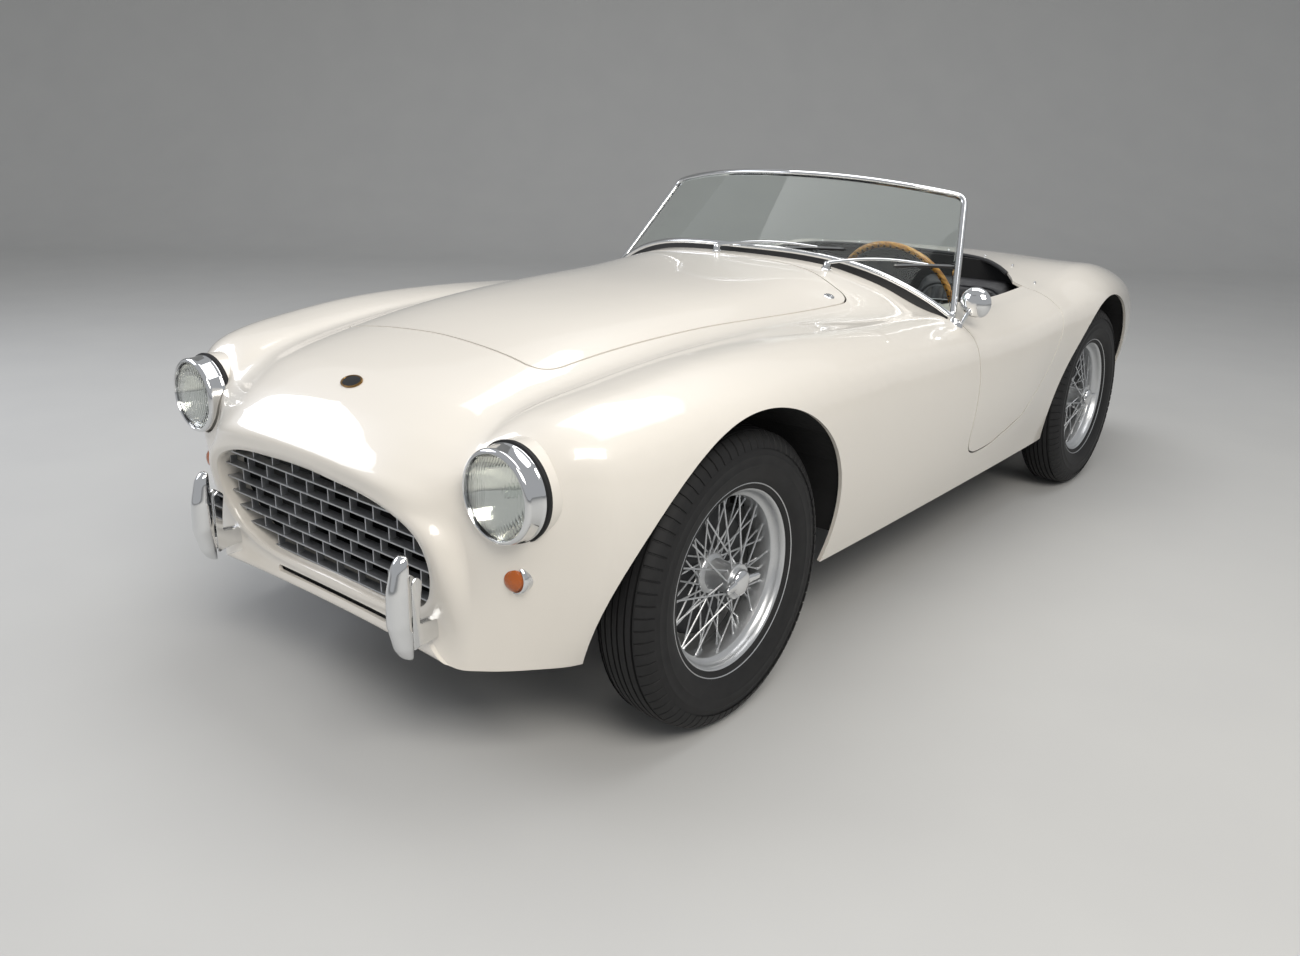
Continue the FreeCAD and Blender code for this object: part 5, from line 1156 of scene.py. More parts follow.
inner = np.linspace(-0.94, 0.94, 45)
loop = [base_point(u) for u in inner]
loop += corner(base_point(0.95), base_point(1), top_point(1), 0.022)
loop += corner(base_point(1), top_point(1), top_point(0.9), 0.036)
loop += [top_point(u) for u in inner[::-1]]
loop += corner(top_point(-0.9), top_point(-1), base_point(-1), 0.036)
loop += corner(top_point(-1), base_point(-1), base_point(-0.95), 0.022)
loop = np.array(loop)
facing = np.array((0, -0.64, 0.77))
channel = [(0.0092 * abs(math.cos(t)) ** 0.7 * math.copysign(1, math.cos(t)),
            0.0105 * abs(math.sin(t)) ** 0.7 * math.copysign(1, math.sin(t))) for t in np.arange(20) * math.tau / 20]
screen_frame = swept("windscreen_channel", loop, channel, chrome, facing, closed=True, sharp=60)
feet = [screen_frame]
for side in (-1, 1):
    foot = swept("foot", [at(side * 652, 1101, 774), at(side * 653, 1098, 758), at(side * 655, 1093, 741)],
                 oval(0.017, 0.013, 20), chrome, (0, 1, 0), taper=(0.8, 1.0, 1.35))
    feet.append(foot)
screen_frame = joined("windscreen_channel", feet, chrome)
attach(screen_frame, "car")
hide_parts("windscreen_frame")

seal_rows = []
for u in np.linspace(-0.985, 0.985, 61):
    rail = base_point(u)
    spot = true_skin.ray_cast(Vector((rail[0], rail[1], 1.4)), Vector((0, 0, -1)))[0]
    low = (spot.z if spot else rail[2] - 0.03) - 0.004
    top_z = max(rail[2] - 0.004, low + 0.006)
    for dy, z in ((-0.016, low), (-0.012, low + 0.006), (-0.006, top_z), (0.008, top_z), (0.012, low + 0.006),
                  (0.015, low)):
        seal_rows.append((rail[0], rail[1] + dy, z))
seal = new_piece("windscreen_seal", seal_rows, grid_faces(61, 6, wrap=True)
                 + [tuple(range(6)), tuple(range(360, 366))], rubber, 50)
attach(seal, "car")

# WIPERS. Two chromed arms on domed spindles in the scuttle, each with a hinged steel blade and a
# rubber edge that lies on the glass.
for number, (x, station, reach) in enumerate(((-50, 905, 320), (325, 930, 285))):
    spot, up = surface_spot(x, station)
    metal = [turned("spindle", [(-2, 0), (-2, 15), (3, 15), (5, 12), (9, 11), (20, 9.5), (24, 7), (26, 0)],
                    spot, up, chrome, 40)]
    pivot = spot + up * 0.021
    tip = spot + np.array((reach, 61, 36)) / 1000
    arch = [pivot * (1 - t) + tip * t + (0, 0, 0.012 * math.sin(math.pi * t)) for t in np.linspace(0, 1, 14)]
    metal.append(swept("arm", arch, oval(0.0045, 0.0028, 12), chrome, (0, -0.6, 0.8),
                       taper=np.linspace(1.5, 0.8, 14)))
    blade_line = []
    for t in np.linspace(-0.42, 0.3, 16):
        along_arm = tip - pivot
        blade_line.append(tip + along_arm * t * 0.8 + (0, 0.005, -0.006 + 0.004 * math.cos(t * 3)))
    metal.append(swept("back", blade_line, [(-0.003, 0), (0, 0.004), (0.003, 0), (0, -0.002)], chrome,
                       (0, -0.6, 0.8), taper=np.concatenate([[0.4], np.ones(14), [0.4]])))
    metal = joined("wiper_arm_%d" % (number + 1), metal, chrome)
    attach(metal, "car")
    if number == 0:
        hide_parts("wipers")
    edge = swept("wiper_edge_%d" % (number + 1), [p + (0, 0.004, -0.004) for p in blade_line],
                 [(-0.002, -0.004), (0.002, -0.004), (0.002, 0.003), (-0.002, 0.003)], rubber, (0, -0.6, 0.8))
    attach(edge, "car")

# MIRROR. A round spun bowl, chromed, with flat glass facing the driver, on a short curved stem that
# is screwed to the wing at the foot of the pillar.
head_at = at(692, 1150, 818)
bowl_axis = Vector((0, -1, 0.05)).normalized()
mirror_parts = [turned("bowl", [(-1, 43), (-2, 44.5), (-1, 46), (2, 46), (8, 44.6), (14, 40.5), (19, 34.5),
                                (23.5, 26), (26.5, 16), (28, 6), (28.2, 0)], head_at, bowl_axis, chrome, 72)]
stem_line = [at(690, 1134, 812), at(686, 1124, 798), at(678, 1115, 776), at(669, 1109, 752), at(664, 1105, 733)]
mirror_parts.append(swept("stem", stem_line, oval(0.0055, 0.0055, 14), chrome, (0, 1, 0.2)))
spot, up = surface_spot(663, 1104)
mirror_parts.append(turned("foot", [(-6, 0), (-6, 17), (1, 17), (4, 14), (9, 8), (12, 0)], spot, up, chrome, 40))
mirror_metal = joined("mirror_bowl", mirror_parts, chrome)
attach(mirror_metal, "car")
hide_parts("mirror")
mirror_face = turned("mirror_glass", [(1, 0), (-0.5, 0), (-0.5, 43), (1, 43)], head_at, bowl_axis, silvered, 72)
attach(mirror_face, "car")

# SEATS. Two separate seats: foam and springs under black hide, sewn in pleats 45 mm apart inside a
# plain rolled border. Cushions lie on boxed bases, backs lean on the rear bulkhead.

# Hide, black, vat dyed and waxed: fine pebble grain 1.5 mm across with a soft broad sheen
hide, tree, shader = new_finish("cowhide_black_waxed", Roughness=0.4, Base_Color=linear("#232326"),
                                Specular_IOR_Level=0.55)
place = add_node(tree, "ShaderNodeTexCoord")
pebble = add_node(tree, "ShaderNodeTexVoronoi", {"feature": "DISTANCE_TO_EDGE"},
                  {"Vector": place.outputs["Object"], "Scale": 480.0})
crease = add_node(tree, "ShaderNodeMapRange", inputs={"Value": pebble.outputs["Distance"], "From Max": 0.2})
wear = add_node(tree, "ShaderNodeTexNoise", inputs={"Vector": place.outputs["Object"], "Scale": 14.0,
                                                    "Detail": 3.0})
gloss = add_node(tree, "ShaderNodeMapRange", inputs={"Value": wear.outputs["Fac"], "To Min": 0.32,
                                                     "To Max": 0.52})
tree.links.new(gloss.outputs[0], shader.inputs["Roughness"])
relief = add_node(tree, "ShaderNodeBump", inputs={"Height": crease.outputs[0], "Strength": 0.25,
                                                  "Distance": 0.0005})
tree.links.new(relief.outputs["Normal"], shader.inputs["Normal"])


def stuffed(pad, cap):
    """Swells a closed pad as air under cloth does, each point by no more than cap, and applies it."""
    remesh = pad.modifiers.new("even", "REMESH")
    remesh.mode, remesh.voxel_size = "VOXEL", 0.006
    settle(pad)
    still = [v.co.copy() for v in pad.data.vertices]
    cloth = pad.modifiers.new("swell", "CLOTH")
    cloth.settings.use_pressure = True
    cloth.settings.uniform_pressure_force = 4
    cloth.settings.effector_weights.gravity = 0
    cloth.settings.quality = 4
    bpy.context.scene.frame_start, bpy.context.scene.frame_end = 1, 20
    for frame_number in range(1, 21):
        bpy.context.scene.frame_set(frame_number)
    swollen = pad.evaluated_get(bpy.context.evaluated_depsgraph_get()).data
    moved = [v.co.copy() for v in swollen.vertices]
    pad.modifiers.remove(cloth)
    bpy.context.scene.frame_set(1)
    for v, start, end in zip(pad.data.vertices, still, moved):
        go = end - start
        v.co = start + go * min(1.0, cap / max(go.length, 1e-9))
    return pad


def pleated(pad, middle, half, low, high, up_axis, into):
    """Presses a border seam and the pleats' seams into the face that looks against into."""
    ease = pad.modifiers.new("ease", "SMOOTH")
    ease.factor, ease.iterations = 0.5, 6
    fine = pad.modifiers.new("fine", "SUBSURF")
    fine.levels = fine.render_levels = 1
    settle(pad)
    mesh = pad.data
    into = Vector(into).normalized()
    facing = [v.normal.dot(into) for v in mesh.vertices]
    for v, faces_out in zip(mesh.vertices, facing):
        if faces_out > -0.25:
            continue
        x, s = v.co.x - middle, v.co[up_axis]
        wide = (half - abs(x), s - low, high - s)
        if abs(x) > half - 0.07 and s > high - 0.07 and up_axis == 2:
            edge = 0.07 - math.hypot(abs(x) - half + 0.07, s - high + 0.07)
        else:
            edge = min(wide)
        seam = math.exp(-(edge / 0.0035) ** 2) * 0.0045
        if edge > 0:
            fade = min(1.0, edge / 0.012)
            seam += 0.0085 * fade * (1 - math.sqrt(abs(math.cos(math.pi * x / 0.045))))
        v.co += into * seam * min(1.0, (-faces_out - 0.25) * 3)
    mesh.polygons.foreach_set("use_smooth", [True] * len(mesh.polygons))
    pad.data.materials.clear()
    pad.data.materials.append(hide)
    return pad


SEAT_X, SEAT_HALF = 340, 197
back_side = rounded([(1812, 462), (1836, 560), (1874, 735), (1896, 790), (1925, 798), (1950, 786), (1952, 735),
                     (1918, 560), (1874, 462)], 14)
seat_back = prism(*([at(x, s, z) for s, z in back_side] for x in (SEAT_X - SEAT_HALF, SEAT_X + SEAT_HALF)))
back_front = rounded([(143, 450), (537, 450), (537, 700), (500, 810), (180, 810), (143, 700)], 70)
front_block = prism([at(x, 1780, z) for x, z in back_front], [at(x, 1980, z) for x, z in back_front])
cut(seat_back, [front_block], "INTERSECT")
pleated(stuffed(seat_back, 0.012), SEAT_X / 1000, 0.158, 0.47, 0.757, 2, (0, 0.96, -0.24))
cushion_side = rounded([(1460, 336), (1457, 425), (1480, 442), (1840, 446), (1862, 430), (1862, 336)], 16)
seat_cushion = prism(*([at(x, s, z) for s, z in cushion_side] for x in (SEAT_X - SEAT_HALF, SEAT_X + SEAT_HALF)))
cushion_plan = rounded([(143, 1450), (537, 1450), (537, 1870), (143, 1870)], 45)
plan_block = prism(*([at(x, s, z) for x, s in cushion_plan] for z in (320, 470)))
cut(seat_cushion, [plan_block], "INTERSECT")
pleated(stuffed(seat_cushion, 0.010), SEAT_X / 1000, 0.158, at(0, 1497, 0)[1], at(0, 1850, 0)[1], 1, (0, 0, -1))
for pad, name, node in ((seat_back, "seat_back", "seat_backs"), (seat_cushion, "seat_cushion", "seat_cushions")):
    lowest = 0.332 if node == "seat_cushions" else 0.4555
    for v in pad.data.vertices:
        v.co.z = max(v.co.z, lowest)
    twin = mirror_points(pad)
    pad.name, twin.name = name + "_left", name + "_right"
    for piece in (pad, twin):
        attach(piece, "car")
    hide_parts(node)

# COCKPIT TRIM. A padded roll of leathercloth over the rear edge and the scuttle's edge, and a row of
# small chromed studs that hold the tonneau cover.
rear_walk = sorted([p for p in COCKPIT if p[1] > 1868], key=lambda p: p[0])
front_walk = sorted([p for p in COCKPIT if p[1] < 1130], key=lambda p: p[0])
rolls = []
for walk in (rear_walk, front_walk):
    line, ups = [], []
    run = np.linspace(0, len(walk) - 1, 60)
    for k in run:
        a = walk[int(k)]
        b = walk[min(int(k) + 1, len(walk) - 1)]
        t = k - int(k)
        x, s = a[0] * (1 - t) + b[0] * t, a[1] * (1 - t) + b[1] * t
        away = 1.012 if s > 1500 else 0.9995
        spot, up = surface_spot(x * away, 1500 + (s - 1500) * away)
        line.append(np.array(at(x, s, 0)) * (1, 1, 0) + (0, 0, spot[2] - 0.0045))
        ups.append(up)
    rolls.append(swept("roll", line, oval(0.0075, 0.0075, 14), leathercloth, ups, sharp=60))
roll = joined("cockpit_roll", rolls, leathercloth)
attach(roll, "car")

studs = []
for x, s in ((0, 2078), (190, 2066), (345, 2044), (470, 1990), (585, 1910)):
    for side in ((1, -1) if x else (1,)):
        spot, up = surface_spot(side * x, s)
        studs.append(turned("stud", [(-1, 0), (-1, 5.5), (0.8, 5.5), (1.2, 3.2), (3.5, 3.0), (4.2, 4.6),
                                     (5.6, 4.2), (6.6, 2.4), (6.9, 0)], spot, up, chrome, 16))
studs = joined("tonneau_studs", studs, chrome)
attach(studs, "car")

# DASHBOARD. A flat steel panel covered in black leathercloth under the scuttle's edge, with two large
# dials ahead of the driver, three small ones in the middle, and a row of switch knobs.
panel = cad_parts["dashboard"]
panel.data.materials.clear()
panel.data.materials.append(leathercloth)

# Dial card, printed matt: charcoal black
dial_black, tree, shader = new_finish("dial_card_matt", Roughness=0.6)
place = add_node(tree, "ShaderNodeTexCoord")
fibre = add_node(tree, "ShaderNodeTexNoise", inputs={"Vector": place.outputs["Object"], "Scale": 900.0})
tone = add_node(tree, "ShaderNodeMix", {"data_type": "RGBA"},
                {"Factor": fibre.outputs["Fac"], 6: linear("#101012"), 7: linear("#19191B")})
tree.links.new(tone.outputs[2], shader.inputs["Base Color"])

# Dial paint, screened: chalky off-white marks
dial_white, tree, shader = new_finish("dial_paint_screened", Roughness=0.5)
place = add_node(tree, "ShaderNodeTexCoord")
chalk = add_node(tree, "ShaderNodeTexNoise", inputs={"Vector": place.outputs["Object"], "Scale": 1200.0})
tone = add_node(tree, "ShaderNodeMix", {"data_type": "RGBA"},
                {"Factor": chalk.outputs["Fac"], 6: linear("#D9D6CC"), 7: linear("#E8E6DE")})
tree.links.new(tone.outputs[2], shader.inputs["Base Color"])

panel_skin = BVHTree.FromPolygons([tuple(v.co) for v in panel.data.vertices],
                                  [tuple(face.vertices) for face in panel.data.polygons])
bezels, cards, marks = [], [], []
for x, z, r in ((415, 762, 47), (285, 786, 47), (120, 812, 24), (55, 812, 24), (-10, 812, 24)):
    spot, flat, index, away = panel_skin.ray_cast(Vector(at(x, 1500, z)), Vector((0, -1, 0)))
    face_out = Vector((flat.x, abs(flat.y), 0)).normalized()
    bezels.append(turned("bezel", [(0, r - 4), (0, r), (3.5, r - 0.5), (6, r - 2.5), (6, r - 3.8), (2, r - 4),
                                   (0, r - 4)], spot, face_out, chrome, 48))
    cards.append(turned("card", [(0, 0), (1, 0), (1, r - 3.9), (0, r - 3.9)], spot, face_out, dial_black, 48))
    tick = prism([(0.001, -0.0006, (r - 6) / 1000), (0.001, 0.0006, (r - 6) / 1000),
                  (0.001, 0.0006, (r - 11) / 1000), (0.001, -0.0006, (r - 11) / 1000)],
                 [(0.0013, -0.0006, (r - 6) / 1000), (0.0013, 0.0006, (r - 6) / 1000),
                  (0.0013, 0.0006, (r - 11) / 1000), (0.0013, -0.0006, (r - 11) / 1000)])
    ticks = run_plan(tick, ring_plan, Count=24 if r > 30 else 12, First_turn=0.0, Finish=dial_white)
    needle = prism([(0.0025, -0.0012, -0.008), (0.0025, 0.0012, -0.008), (0.0025, 0, (r - 9) / 1000)],
                   [(0.003, -0.0012, -0.008), (0.003, 0.0012, -0.008), (0.003, 0, (r - 9) / 1000)])
    needle.data.transform(Matrix.Rotation(math.radians(130), 4, "X"))
    turn = Vector((1, 0, 0)).rotation_difference(face_out).to_matrix().to_4x4()
    for piece in (ticks, needle):
        piece.data.transform(Matrix.Translation(spot) @ turn)
        marks.append(piece)
for x in (150, 105, 60, 15, -30):
    spot, flat, index, away = panel_skin.ray_cast(Vector(at(x, 1500, 745)), Vector((0, -1, 0)))
    bezels.append(turned("knob", [(0, 0), (0, 8), (2, 8), (2, 4), (12, 4), (14, 8.5), (22, 8.5), (23, 7), (23, 0)],
                         spot, (0, 1, 0), chrome, 20))
for name, group, finish, slot_name in (("dial_bezels", bezels, chrome, "chrome"),
                                       ("dial_cards", cards, dial_black, "dash_black"),
                                       ("dial_marks", marks, dial_white, "dash_black")):
    piece = joined(name, group, finish)
    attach(piece, "car")

# STEERING WHEEL. Three flat sprung-alloy spokes and a hub, with a rim of laminated beech riveted on
# either side, its back scalloped for the fingers.

# Beech laminate, varnished: honey brown with fine rings of grain along the rim
beech, tree, shader = new_finish("beech_laminate_varnished", Roughness=0.3, Coat_Weight=0.8,
                                 Coat_Roughness=0.05)
place = add_node(tree, "ShaderNodeTexCoord")
rings = add_node(tree, "ShaderNodeTexWave", {"wave_type": "RINGS", "rings_direction": "Y"},
                 {"Vector": place.outputs["Object"], "Scale": 26.0, "Distortion": 5.0, "Detail": 4.0,
                  "Detail Scale": 3.0})
tone = add_node(tree, "ShaderNodeMix", {"data_type": "RGBA"},
                {"Factor": rings.outputs["Fac"], 6: linear("#A36A20"), 7: linear("#D09A45")})
tree.links.new(tone.outputs[2], shader.inputs["Base Color"])

# Spring alloy, brushed: silver with streaks across each spoke
spoke_alloy, tree, shader = new_finish("alloy_brushed_spring", Metallic=1.0, Roughness=0.3,
                                       Base_Color=linear("#C2C4C6"))
place = add_node(tree, "ShaderNodeTexCoord")
lay = add_node(tree, "ShaderNodeMapping", inputs={"Vector": place.outputs["Object"], "Scale": (900, 900, 40)})
streak = add_node(tree, "ShaderNodeTexNoise", inputs={"Vector": lay.outputs[0], "Scale": 1.0})
rough = add_node(tree, "ShaderNodeMapRange", inputs={"Value": streak.outputs["Fac"], "To Min": 0.2, "To Max": 0.4})
tree.links.new(rough.outputs[0], shader.inputs["Roughness"])

WHEEL_AT = Vector(at(350, 1338, 777))
WHEEL_TURN = Matrix.Translation(WHEEL_AT) @ Matrix(((0, 1, 0, 0), (math.cos(math.radians(25)), 0, -math.sin(
    math.radians(25)), 0), (math.sin(math.radians(25)), 0, math.cos(math.radians(25)), 0), (0, 0, 0, 1)))
RIM_R, STEPS = 0.188, 224
rim_rows = []
for k in range(STEPS):
    turn = k * math.tau / STEPS
    grip = 0.0011 * (1 + math.cos(k * math.tau / 4)) * 0.5
    for j in range(14):
        t = j * math.tau / 14
        across_rim = 0.0108 * math.cos(t)
        along_axis = 0.0092 * math.sin(t)
        if math.cos(t) < 0:
            across_rim += grip * 2 * -math.cos(t)
        r = RIM_R + across_rim
        rim_rows.append((along_axis, r * math.sin(turn), r * math.cos(turn)))
faces = grid_faces(STEPS, 14, wrap=True)
faces += [((STEPS - 1) * 14 + j, (STEPS - 1) * 14 + (j + 1) % 14, (j + 1) % 14, j) for j in range(14)]
wood_rim = new_piece("wood_rim", rim_rows, faces, beech, 60)
metal = [turned("hub", [(-38, 18), (-20, 26), (-14, 30), (4, 30), (7, 27), (8, 20), (8, 0)], (0, 0, 0), (1, 0, 0),
                spoke_alloy, 48)]
for angle in (-90, 90, 180):
    shape = [(-0.0155, 0.024), (0.0155, 0.024), (0.011, 0.1), (0.0135, 0.185), (-0.0135, 0.185), (-0.011, 0.1)]
    spoke = prism([(-0.0012 - 0.004 * (0.185 - r) / 0.16, w, r) for w, r in shape],
                  [(0.0012 - 0.004 * (0.185 - r) / 0.16, w, r) for w, r in shape])
    hole_cutters = []
    for r, w in ((0.055, 0.0075), (0.09, 0.006), (0.125, 0.006), (0.155, 0.0065)):
        turns = np.arange(24) * math.tau / 24
        hole = [(w * math.cos(t), r + w * math.sin(t)) for t in turns]
        hole_cutters.append(prism(*([(x, a, b) for a, b in hole] for x in (-0.02, 0.02))))
    cut(spoke, hole_cutters)
    spoke.data.transform(Matrix.Rotation(math.radians(angle), 4, "X"))
    spoke.data.materials.append(spoke_alloy)
    metal.append(spoke)
rivet = turned("rivet", [(-2, 0), (-2, 3.4), (0.7, 3.6), (1.2, 2.4), (1.3, 0)], (0, 0, 0), (1, 0, 0), None, 10)
rivet.data.transform(Matrix.Translation((0.0089, 0, RIM_R)))
rivet_back = rivet.copy()
rivet_back.data = rivet.data.copy()
bpy.context.scene.collection.objects.link(rivet_back)
rivet_back.data.transform(Matrix.Scale(-1, 4, (1, 0, 0)))
rivet_back.data.flip_normals()
rivets = run_plan(joined("rivet", [rivet, rivet_back]), ring_plan, Count=56, First_turn=math.pi / 56,
                  Finish=black_steel)
spokes = joined("steering_spokes", metal, spoke_alloy)
horn = turned("horn_push", [(7, 0), (7, 19), (12, 18.5), (14.5, 14), (16, 6), (16.2, 0)], (0, 0, 0), (1, 0, 0),
              leathercloth, 40)
for piece, name, slot_name in ((wood_rim, "steering_rim_wood", "rim_wood"),
                               (spokes, "steering_spokes", "chrome"),
                               (rivets, "steering_rim_rivets", "black_steel"),
                               (horn, "horn_push", "black_plastic")):
    piece.name = name
    piece.data.transform(WHEEL_TURN)
    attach(piece, "steering_wheel")
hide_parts("steering_wheel")

# GEAR LEVER. A short cranked steel lever through a sewn gaiter on the tunnel, with a round black knob.
knob_at = at(0, 1345, 612)
foot_at = at(0, 1330, 443)
line = [foot_at + (knob_at - foot_at) * t + (0, -0.006 * math.sin(math.pi * t), 0)
        for t in np.linspace(0.1, 0.95, 12)]
lever = swept("gear_lever_rod", line, oval(0.0055, 0.0055, 16), chrome, (1, 0, 0))
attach(lever, "car")
knob = [turned("knob", [(-17 * math.cos(t), 17 * math.sin(t)) for t in np.linspace(0.25, math.pi, 20)],
               knob_at, (0, 0.1, 1), leathercloth, 40),
        turned("gaiter", [(0, 19), (2, 21), (5, 20.5), (9, 17), (13, 18.5), (18, 14.5), (23, 15.5), (29, 11.5),
                          (34, 12), (42, 8), (50, 7), (52, 5.6)], foot_at, (0, 0.1, 1), leathercloth, 40)]
knob = joined("gear_knob_and_gaiter", knob, leathercloth)
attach(knob, "car")
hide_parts("gear_lever")

# UNDERNEATH. Chassis, suspension, steering and drive line keep their CAD shapes and get the finishes
# of the real ones; the floor is carpeted above, and the wheel arches are sprayed with underseal.

# Loop carpet, black, bound at the edges: matt, with tufts 2 mm across
carpet, tree, shader = new_finish("carpet_black_looped", Roughness=0.95, Base_Color=linear("#19191A"),
                                  Sheen_Weight=0.3, Specular_IOR_Level=0.15)
place = add_node(tree, "ShaderNodeTexCoord")
tufts = add_node(tree, "ShaderNodeTexVoronoi", inputs={"Vector": place.outputs["Object"], "Scale": 380.0})
relief = add_node(tree, "ShaderNodeBump", inputs={"Height": tufts.outputs["Distance"], "Strength": 0.8,
                                                  "Distance": -0.002})
tree.links.new(relief.outputs["Normal"], shader.inputs["Normal"])

# Underseal, sprayed thick: dull black with a coarse pimpled face
underseal, tree, shader = new_finish("underseal_sprayed_black", Roughness=0.85, Base_Color=linear("#131314"))
place = add_node(tree, "ShaderNodeTexCoord")
pimple = add_node(tree, "ShaderNodeTexNoise", inputs={"Vector": place.outputs["Object"], "Scale": 90.0,
                                                      "Detail": 5.0})
relief = add_node(tree, "ShaderNodeBump", inputs={"Height": pimple.outputs["Fac"], "Strength": 0.7,
                                                  "Distance": 0.002})
tree.links.new(relief.outputs["Normal"], shader.inputs["Normal"])

# Iron, sand cast: mid grey, grainy, with slight stains
cast_iron, tree, shader = new_finish("iron_sand_cast", Metallic=0.5, Roughness=0.6)
place = add_node(tree, "ShaderNodeTexCoord")
sand = add_node(tree, "ShaderNodeTexNoise", inputs={"Vector": place.outputs["Object"], "Scale": 45.0,
                                                    "Detail": 8.0})
tone = add_node(tree, "ShaderNodeMix", {"data_type": "RGBA"},
                {"Factor": sand.outputs["Fac"], 6: linear("#4A4B4C"), 7: linear("#6A6A69")})
tree.links.new(tone.outputs[2], shader.inputs["Base Color"])
relief = add_node(tree, "ShaderNodeBump", inputs={"Height": sand.outputs["Fac"], "Strength": 0.4,
                                                  "Distance": 0.001})
tree.links.new(relief.outputs["Normal"], shader.inputs["Normal"])

# Exhaust steel, heat stained: brown-grey with straw and blue drifts along the pipe
hot_steel, tree, shader = new_finish("steel_heat_stained", Metallic=0.85, Roughness=0.45)
place = add_node(tree, "ShaderNodeTexCoord")
stain = add_node(tree, "ShaderNodeTexNoise", inputs={"Vector": place.outputs["Object"], "Scale": 6.0,
                                                     "Detail": 5.0})
tone = add_node(tree, "ShaderNodeMix", {"data_type": "RGBA"},
                {"Factor": stain.outputs["Fac"], 6: linear("#6E5F52"), 7: linear("#8A8A90")})
tree.links.new(tone.outputs[2], shader.inputs["Base Color"])

for finish, nodes in ((carpet, ("floor",)), (underseal, ("wheel_liners",)), (cast_iron, ("engine",)),
                      (hot_steel, ("exhaust",)),
                      (black_steel, ("chassis_frame", "radiator", "front_suspension", "rear_suspension",
                                     "knuckle_left", "knuckle_right", "rear_uprights", "track_rod",
                                     "final_drive", "propeller_shaft", "steering_column",
                                     "bonnet_hinge_pins", "boot_hinge_pins", "seat_bases"))):
    for node in nodes:
        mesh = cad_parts[node].data
        mesh.materials.clear()
        mesh.materials.append(finish)

# a shallow tray of sheet steel behind the chin's slot, sprayed with the same underseal
body_skin = BVHTree.FromPolygons([tuple(v.co) for v in body.data.vertices],
                                 [tuple(face.vertices) for face in body.data.polygons])
tray_points = []
for x in np.linspace(-212, 212, 54):
    for z, behind in ((SLOT_Z + 12, 1.6), (SLOT_Z + 12, 14), (SLOT_Z - 11, 14), (SLOT_Z - 11, 1.6)):
        spot, flat, index, away = body_skin.ray_cast(Vector(at(x, -700, z)), Vector((0, 1, 0)))
        tray_points.append(np.array(spot) + (0, behind / 1000, 0))
tray_faces = grid_faces(54, 4) + [tuple(range(4)), tuple(range(53 * 4, 54 * 4))]
tray = new_piece("chin_slot_tray", tray_points, tray_faces, underseal, 30)
sheet = tray.modifiers.new("sheet", "SOLIDIFY")
sheet.thickness = 0.001
settle(tray)
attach(tray, "car")

# a duct of sheet steel that closes the way from the mouth's rear edge to the radiator's sides
core = np.array([v.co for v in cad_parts["radiator"].data.vertices])
front_face = core[core[:, 1] < core[:, 1].min() + 0.001]
core_middle = (front_face.min(0) + front_face.max(0)) / 2
core_half = (front_face.max(0) - front_face.min(0)) / 2 + 0.002
duct_turns = (np.arange(96) + 0.5) * math.tau / 96
duct_points = list(mouth_ring(duct_turns, -2, 55))
for turn in duct_turns:
    reach = min(core_half[0] / abs(math.cos(turn)), core_half[2] / abs(math.sin(turn)))
    duct_points.append((reach * math.cos(turn), core_middle[1] + 0.008, core_middle[2] + reach * math.sin(turn)))
duct = new_piece("radiator_duct", duct_points, grid_faces(2, 96, wrap=True), black_steel, 30)
sheet = duct.modifiers.new("sheet", "SOLIDIFY")
sheet.thickness = 0.0012
settle(duct)
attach(duct, "car")

# STAGE. A plain pale floor that curves up into a backdrop, two large soft lamps, and the camera at
# the photograph's place and angle.

# Studio board, matt: pale grey with a barely seen mottle 0.4 m across
board, tree, shader = new_finish("studio_board_matt", Roughness=0.9, Specular_IOR_Level=0.15)
place = add_node(tree, "ShaderNodeTexCoord")
mottle = add_node(tree, "ShaderNodeTexNoise", inputs={"Vector": place.outputs["Object"], "Scale": 2.4,
                                                      "Detail": 2.0})
tone = add_node(tree, "ShaderNodeMix", {"data_type": "RGBA"},
                {"Factor": mottle.outputs["Fac"], 6: linear("#BDBDBC"), 7: linear("#C3C3C1")})
tree.links.new(tone.outputs[2], shader.inputs["Base Color"])
floor_line = [(-14, 0)] + [(7 + 3 * math.sin(t), 3 - 3 * math.cos(t)) for t in np.radians(range(0, 91, 6))]
floor_line += [(10, 9)]
wide = 16
lean = math.radians(39.385)
along_view = np.array((-math.sin(lean), math.cos(lean), 0))
across_view = np.array((math.cos(lean), math.sin(lean), 0))
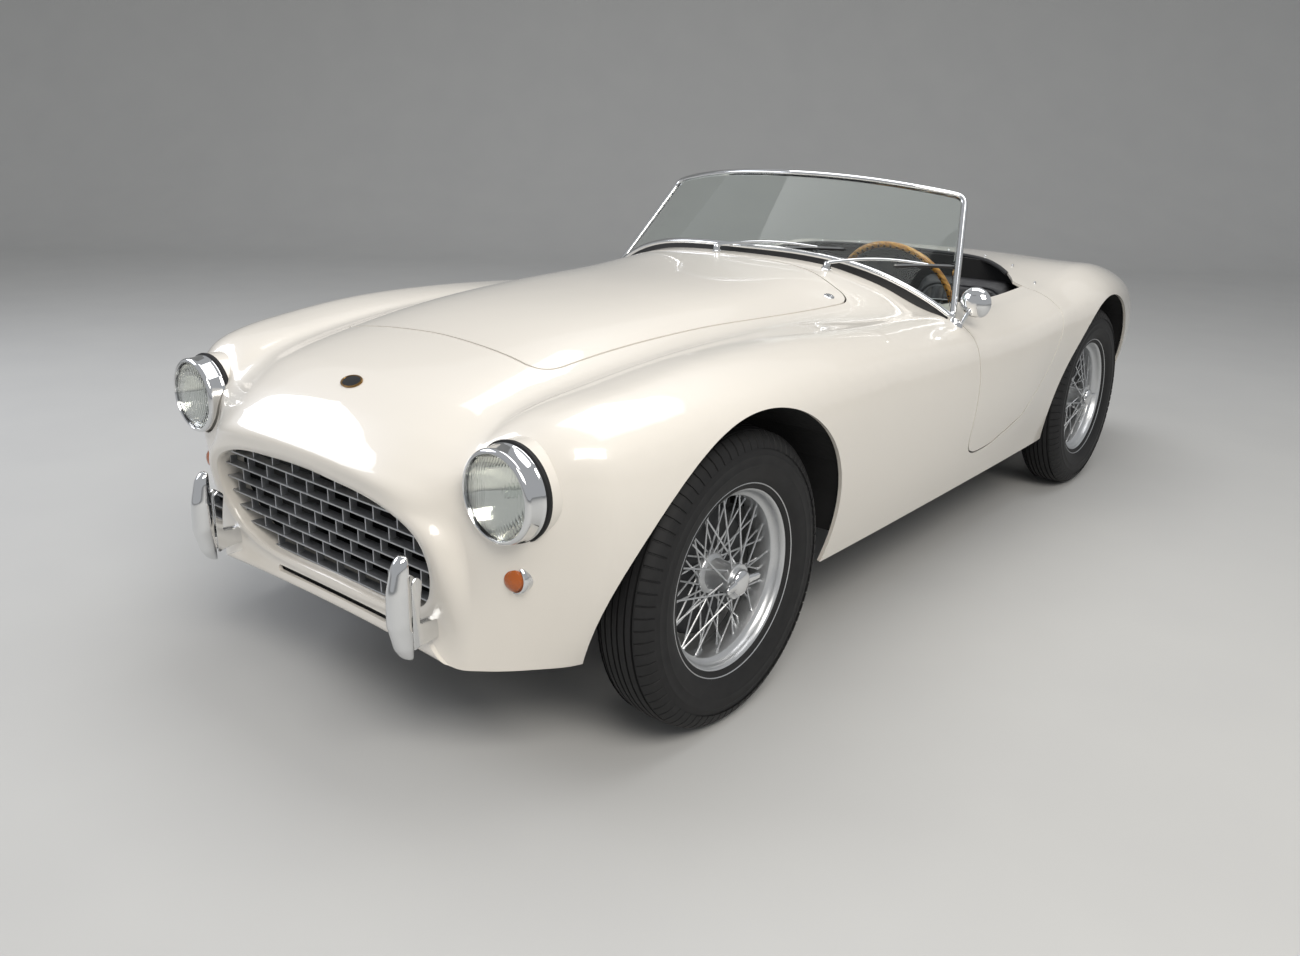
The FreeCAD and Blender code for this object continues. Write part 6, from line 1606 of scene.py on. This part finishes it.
floor_points = [along_view * a + across_view * w + (0, 0, z) for a, z in floor_line for w in (-wide, wide)]
studio_floor = new_piece("studio_floor", floor_points, grid_faces(len(floor_line), 2), board, 0, outwards=False)

world = bpy.data.worlds.new("soft_room")
bpy.context.scene.world = world
world.use_nodes = True
background = world.node_tree.nodes["Background"]
background.inputs["Color"].default_value = linear("#F2F4F7")
background.inputs["Strength"].default_value = 0.47

LAMPS = (("key_softbox", (3.6, -3.2, 4.2), (0.2, -0.4, 0.4), 3.2, 2.2, 180, "#FFFAF2"),
         ("fill_softbox", (-4.4, -3.4, 3.4), (0, -0.6, 0.5), 3.4, 2.2, 92, "#F4F7FF"),
         ("top_softbox", (0.0, 0.4, 5.2), (0, 0, 0), 5.0, 3.0, 115, "#FFFFFF"))
for name, where, towards, width, height, power, code in LAMPS:
    lamp_data = bpy.data.lights.new(name, "AREA")
    lamp_data.shape, lamp_data.size, lamp_data.size_y = "RECTANGLE", width, height
    lamp_data.energy, lamp_data.color = power, linear(code)[:3]
    softbox = bpy.data.objects.new(name, lamp_data)
    bpy.context.scene.collection.objects.link(softbox)
    softbox.location = where
    softbox.rotation_euler = (Vector(towards) - Vector(where)).to_track_quat("-Z", "Y").to_euler()

azimuth, elevation, roll = math.radians(39.385), math.radians(16.135), math.radians(1.188)
back = Vector((math.sin(azimuth) * math.cos(elevation), -math.cos(azimuth) * math.cos(elevation),
               math.sin(elevation)))
right = Vector((math.cos(azimuth), math.sin(azimuth), 0))
above = back.cross(right)
x_axis = right * math.cos(roll) + above * math.sin(roll)
y_axis = above * math.cos(roll) - right * math.sin(roll)
camera_data = bpy.data.cameras.new("camera")
camera_data.lens, camera_data.sensor_width, camera_data.shift_y = 29.0015, 36, -0.0342
camera = bpy.data.objects.new("camera", camera_data)
bpy.context.scene.collection.objects.link(camera)
camera.matrix_world = Matrix.Translation((1.87387, -2.99773, 1.27369)) @ Matrix(
    (x_axis, y_axis, back)).transposed().to_4x4()
bpy.context.scene.camera = camera
bpy.context.scene.view_settings.view_transform = "Standard"
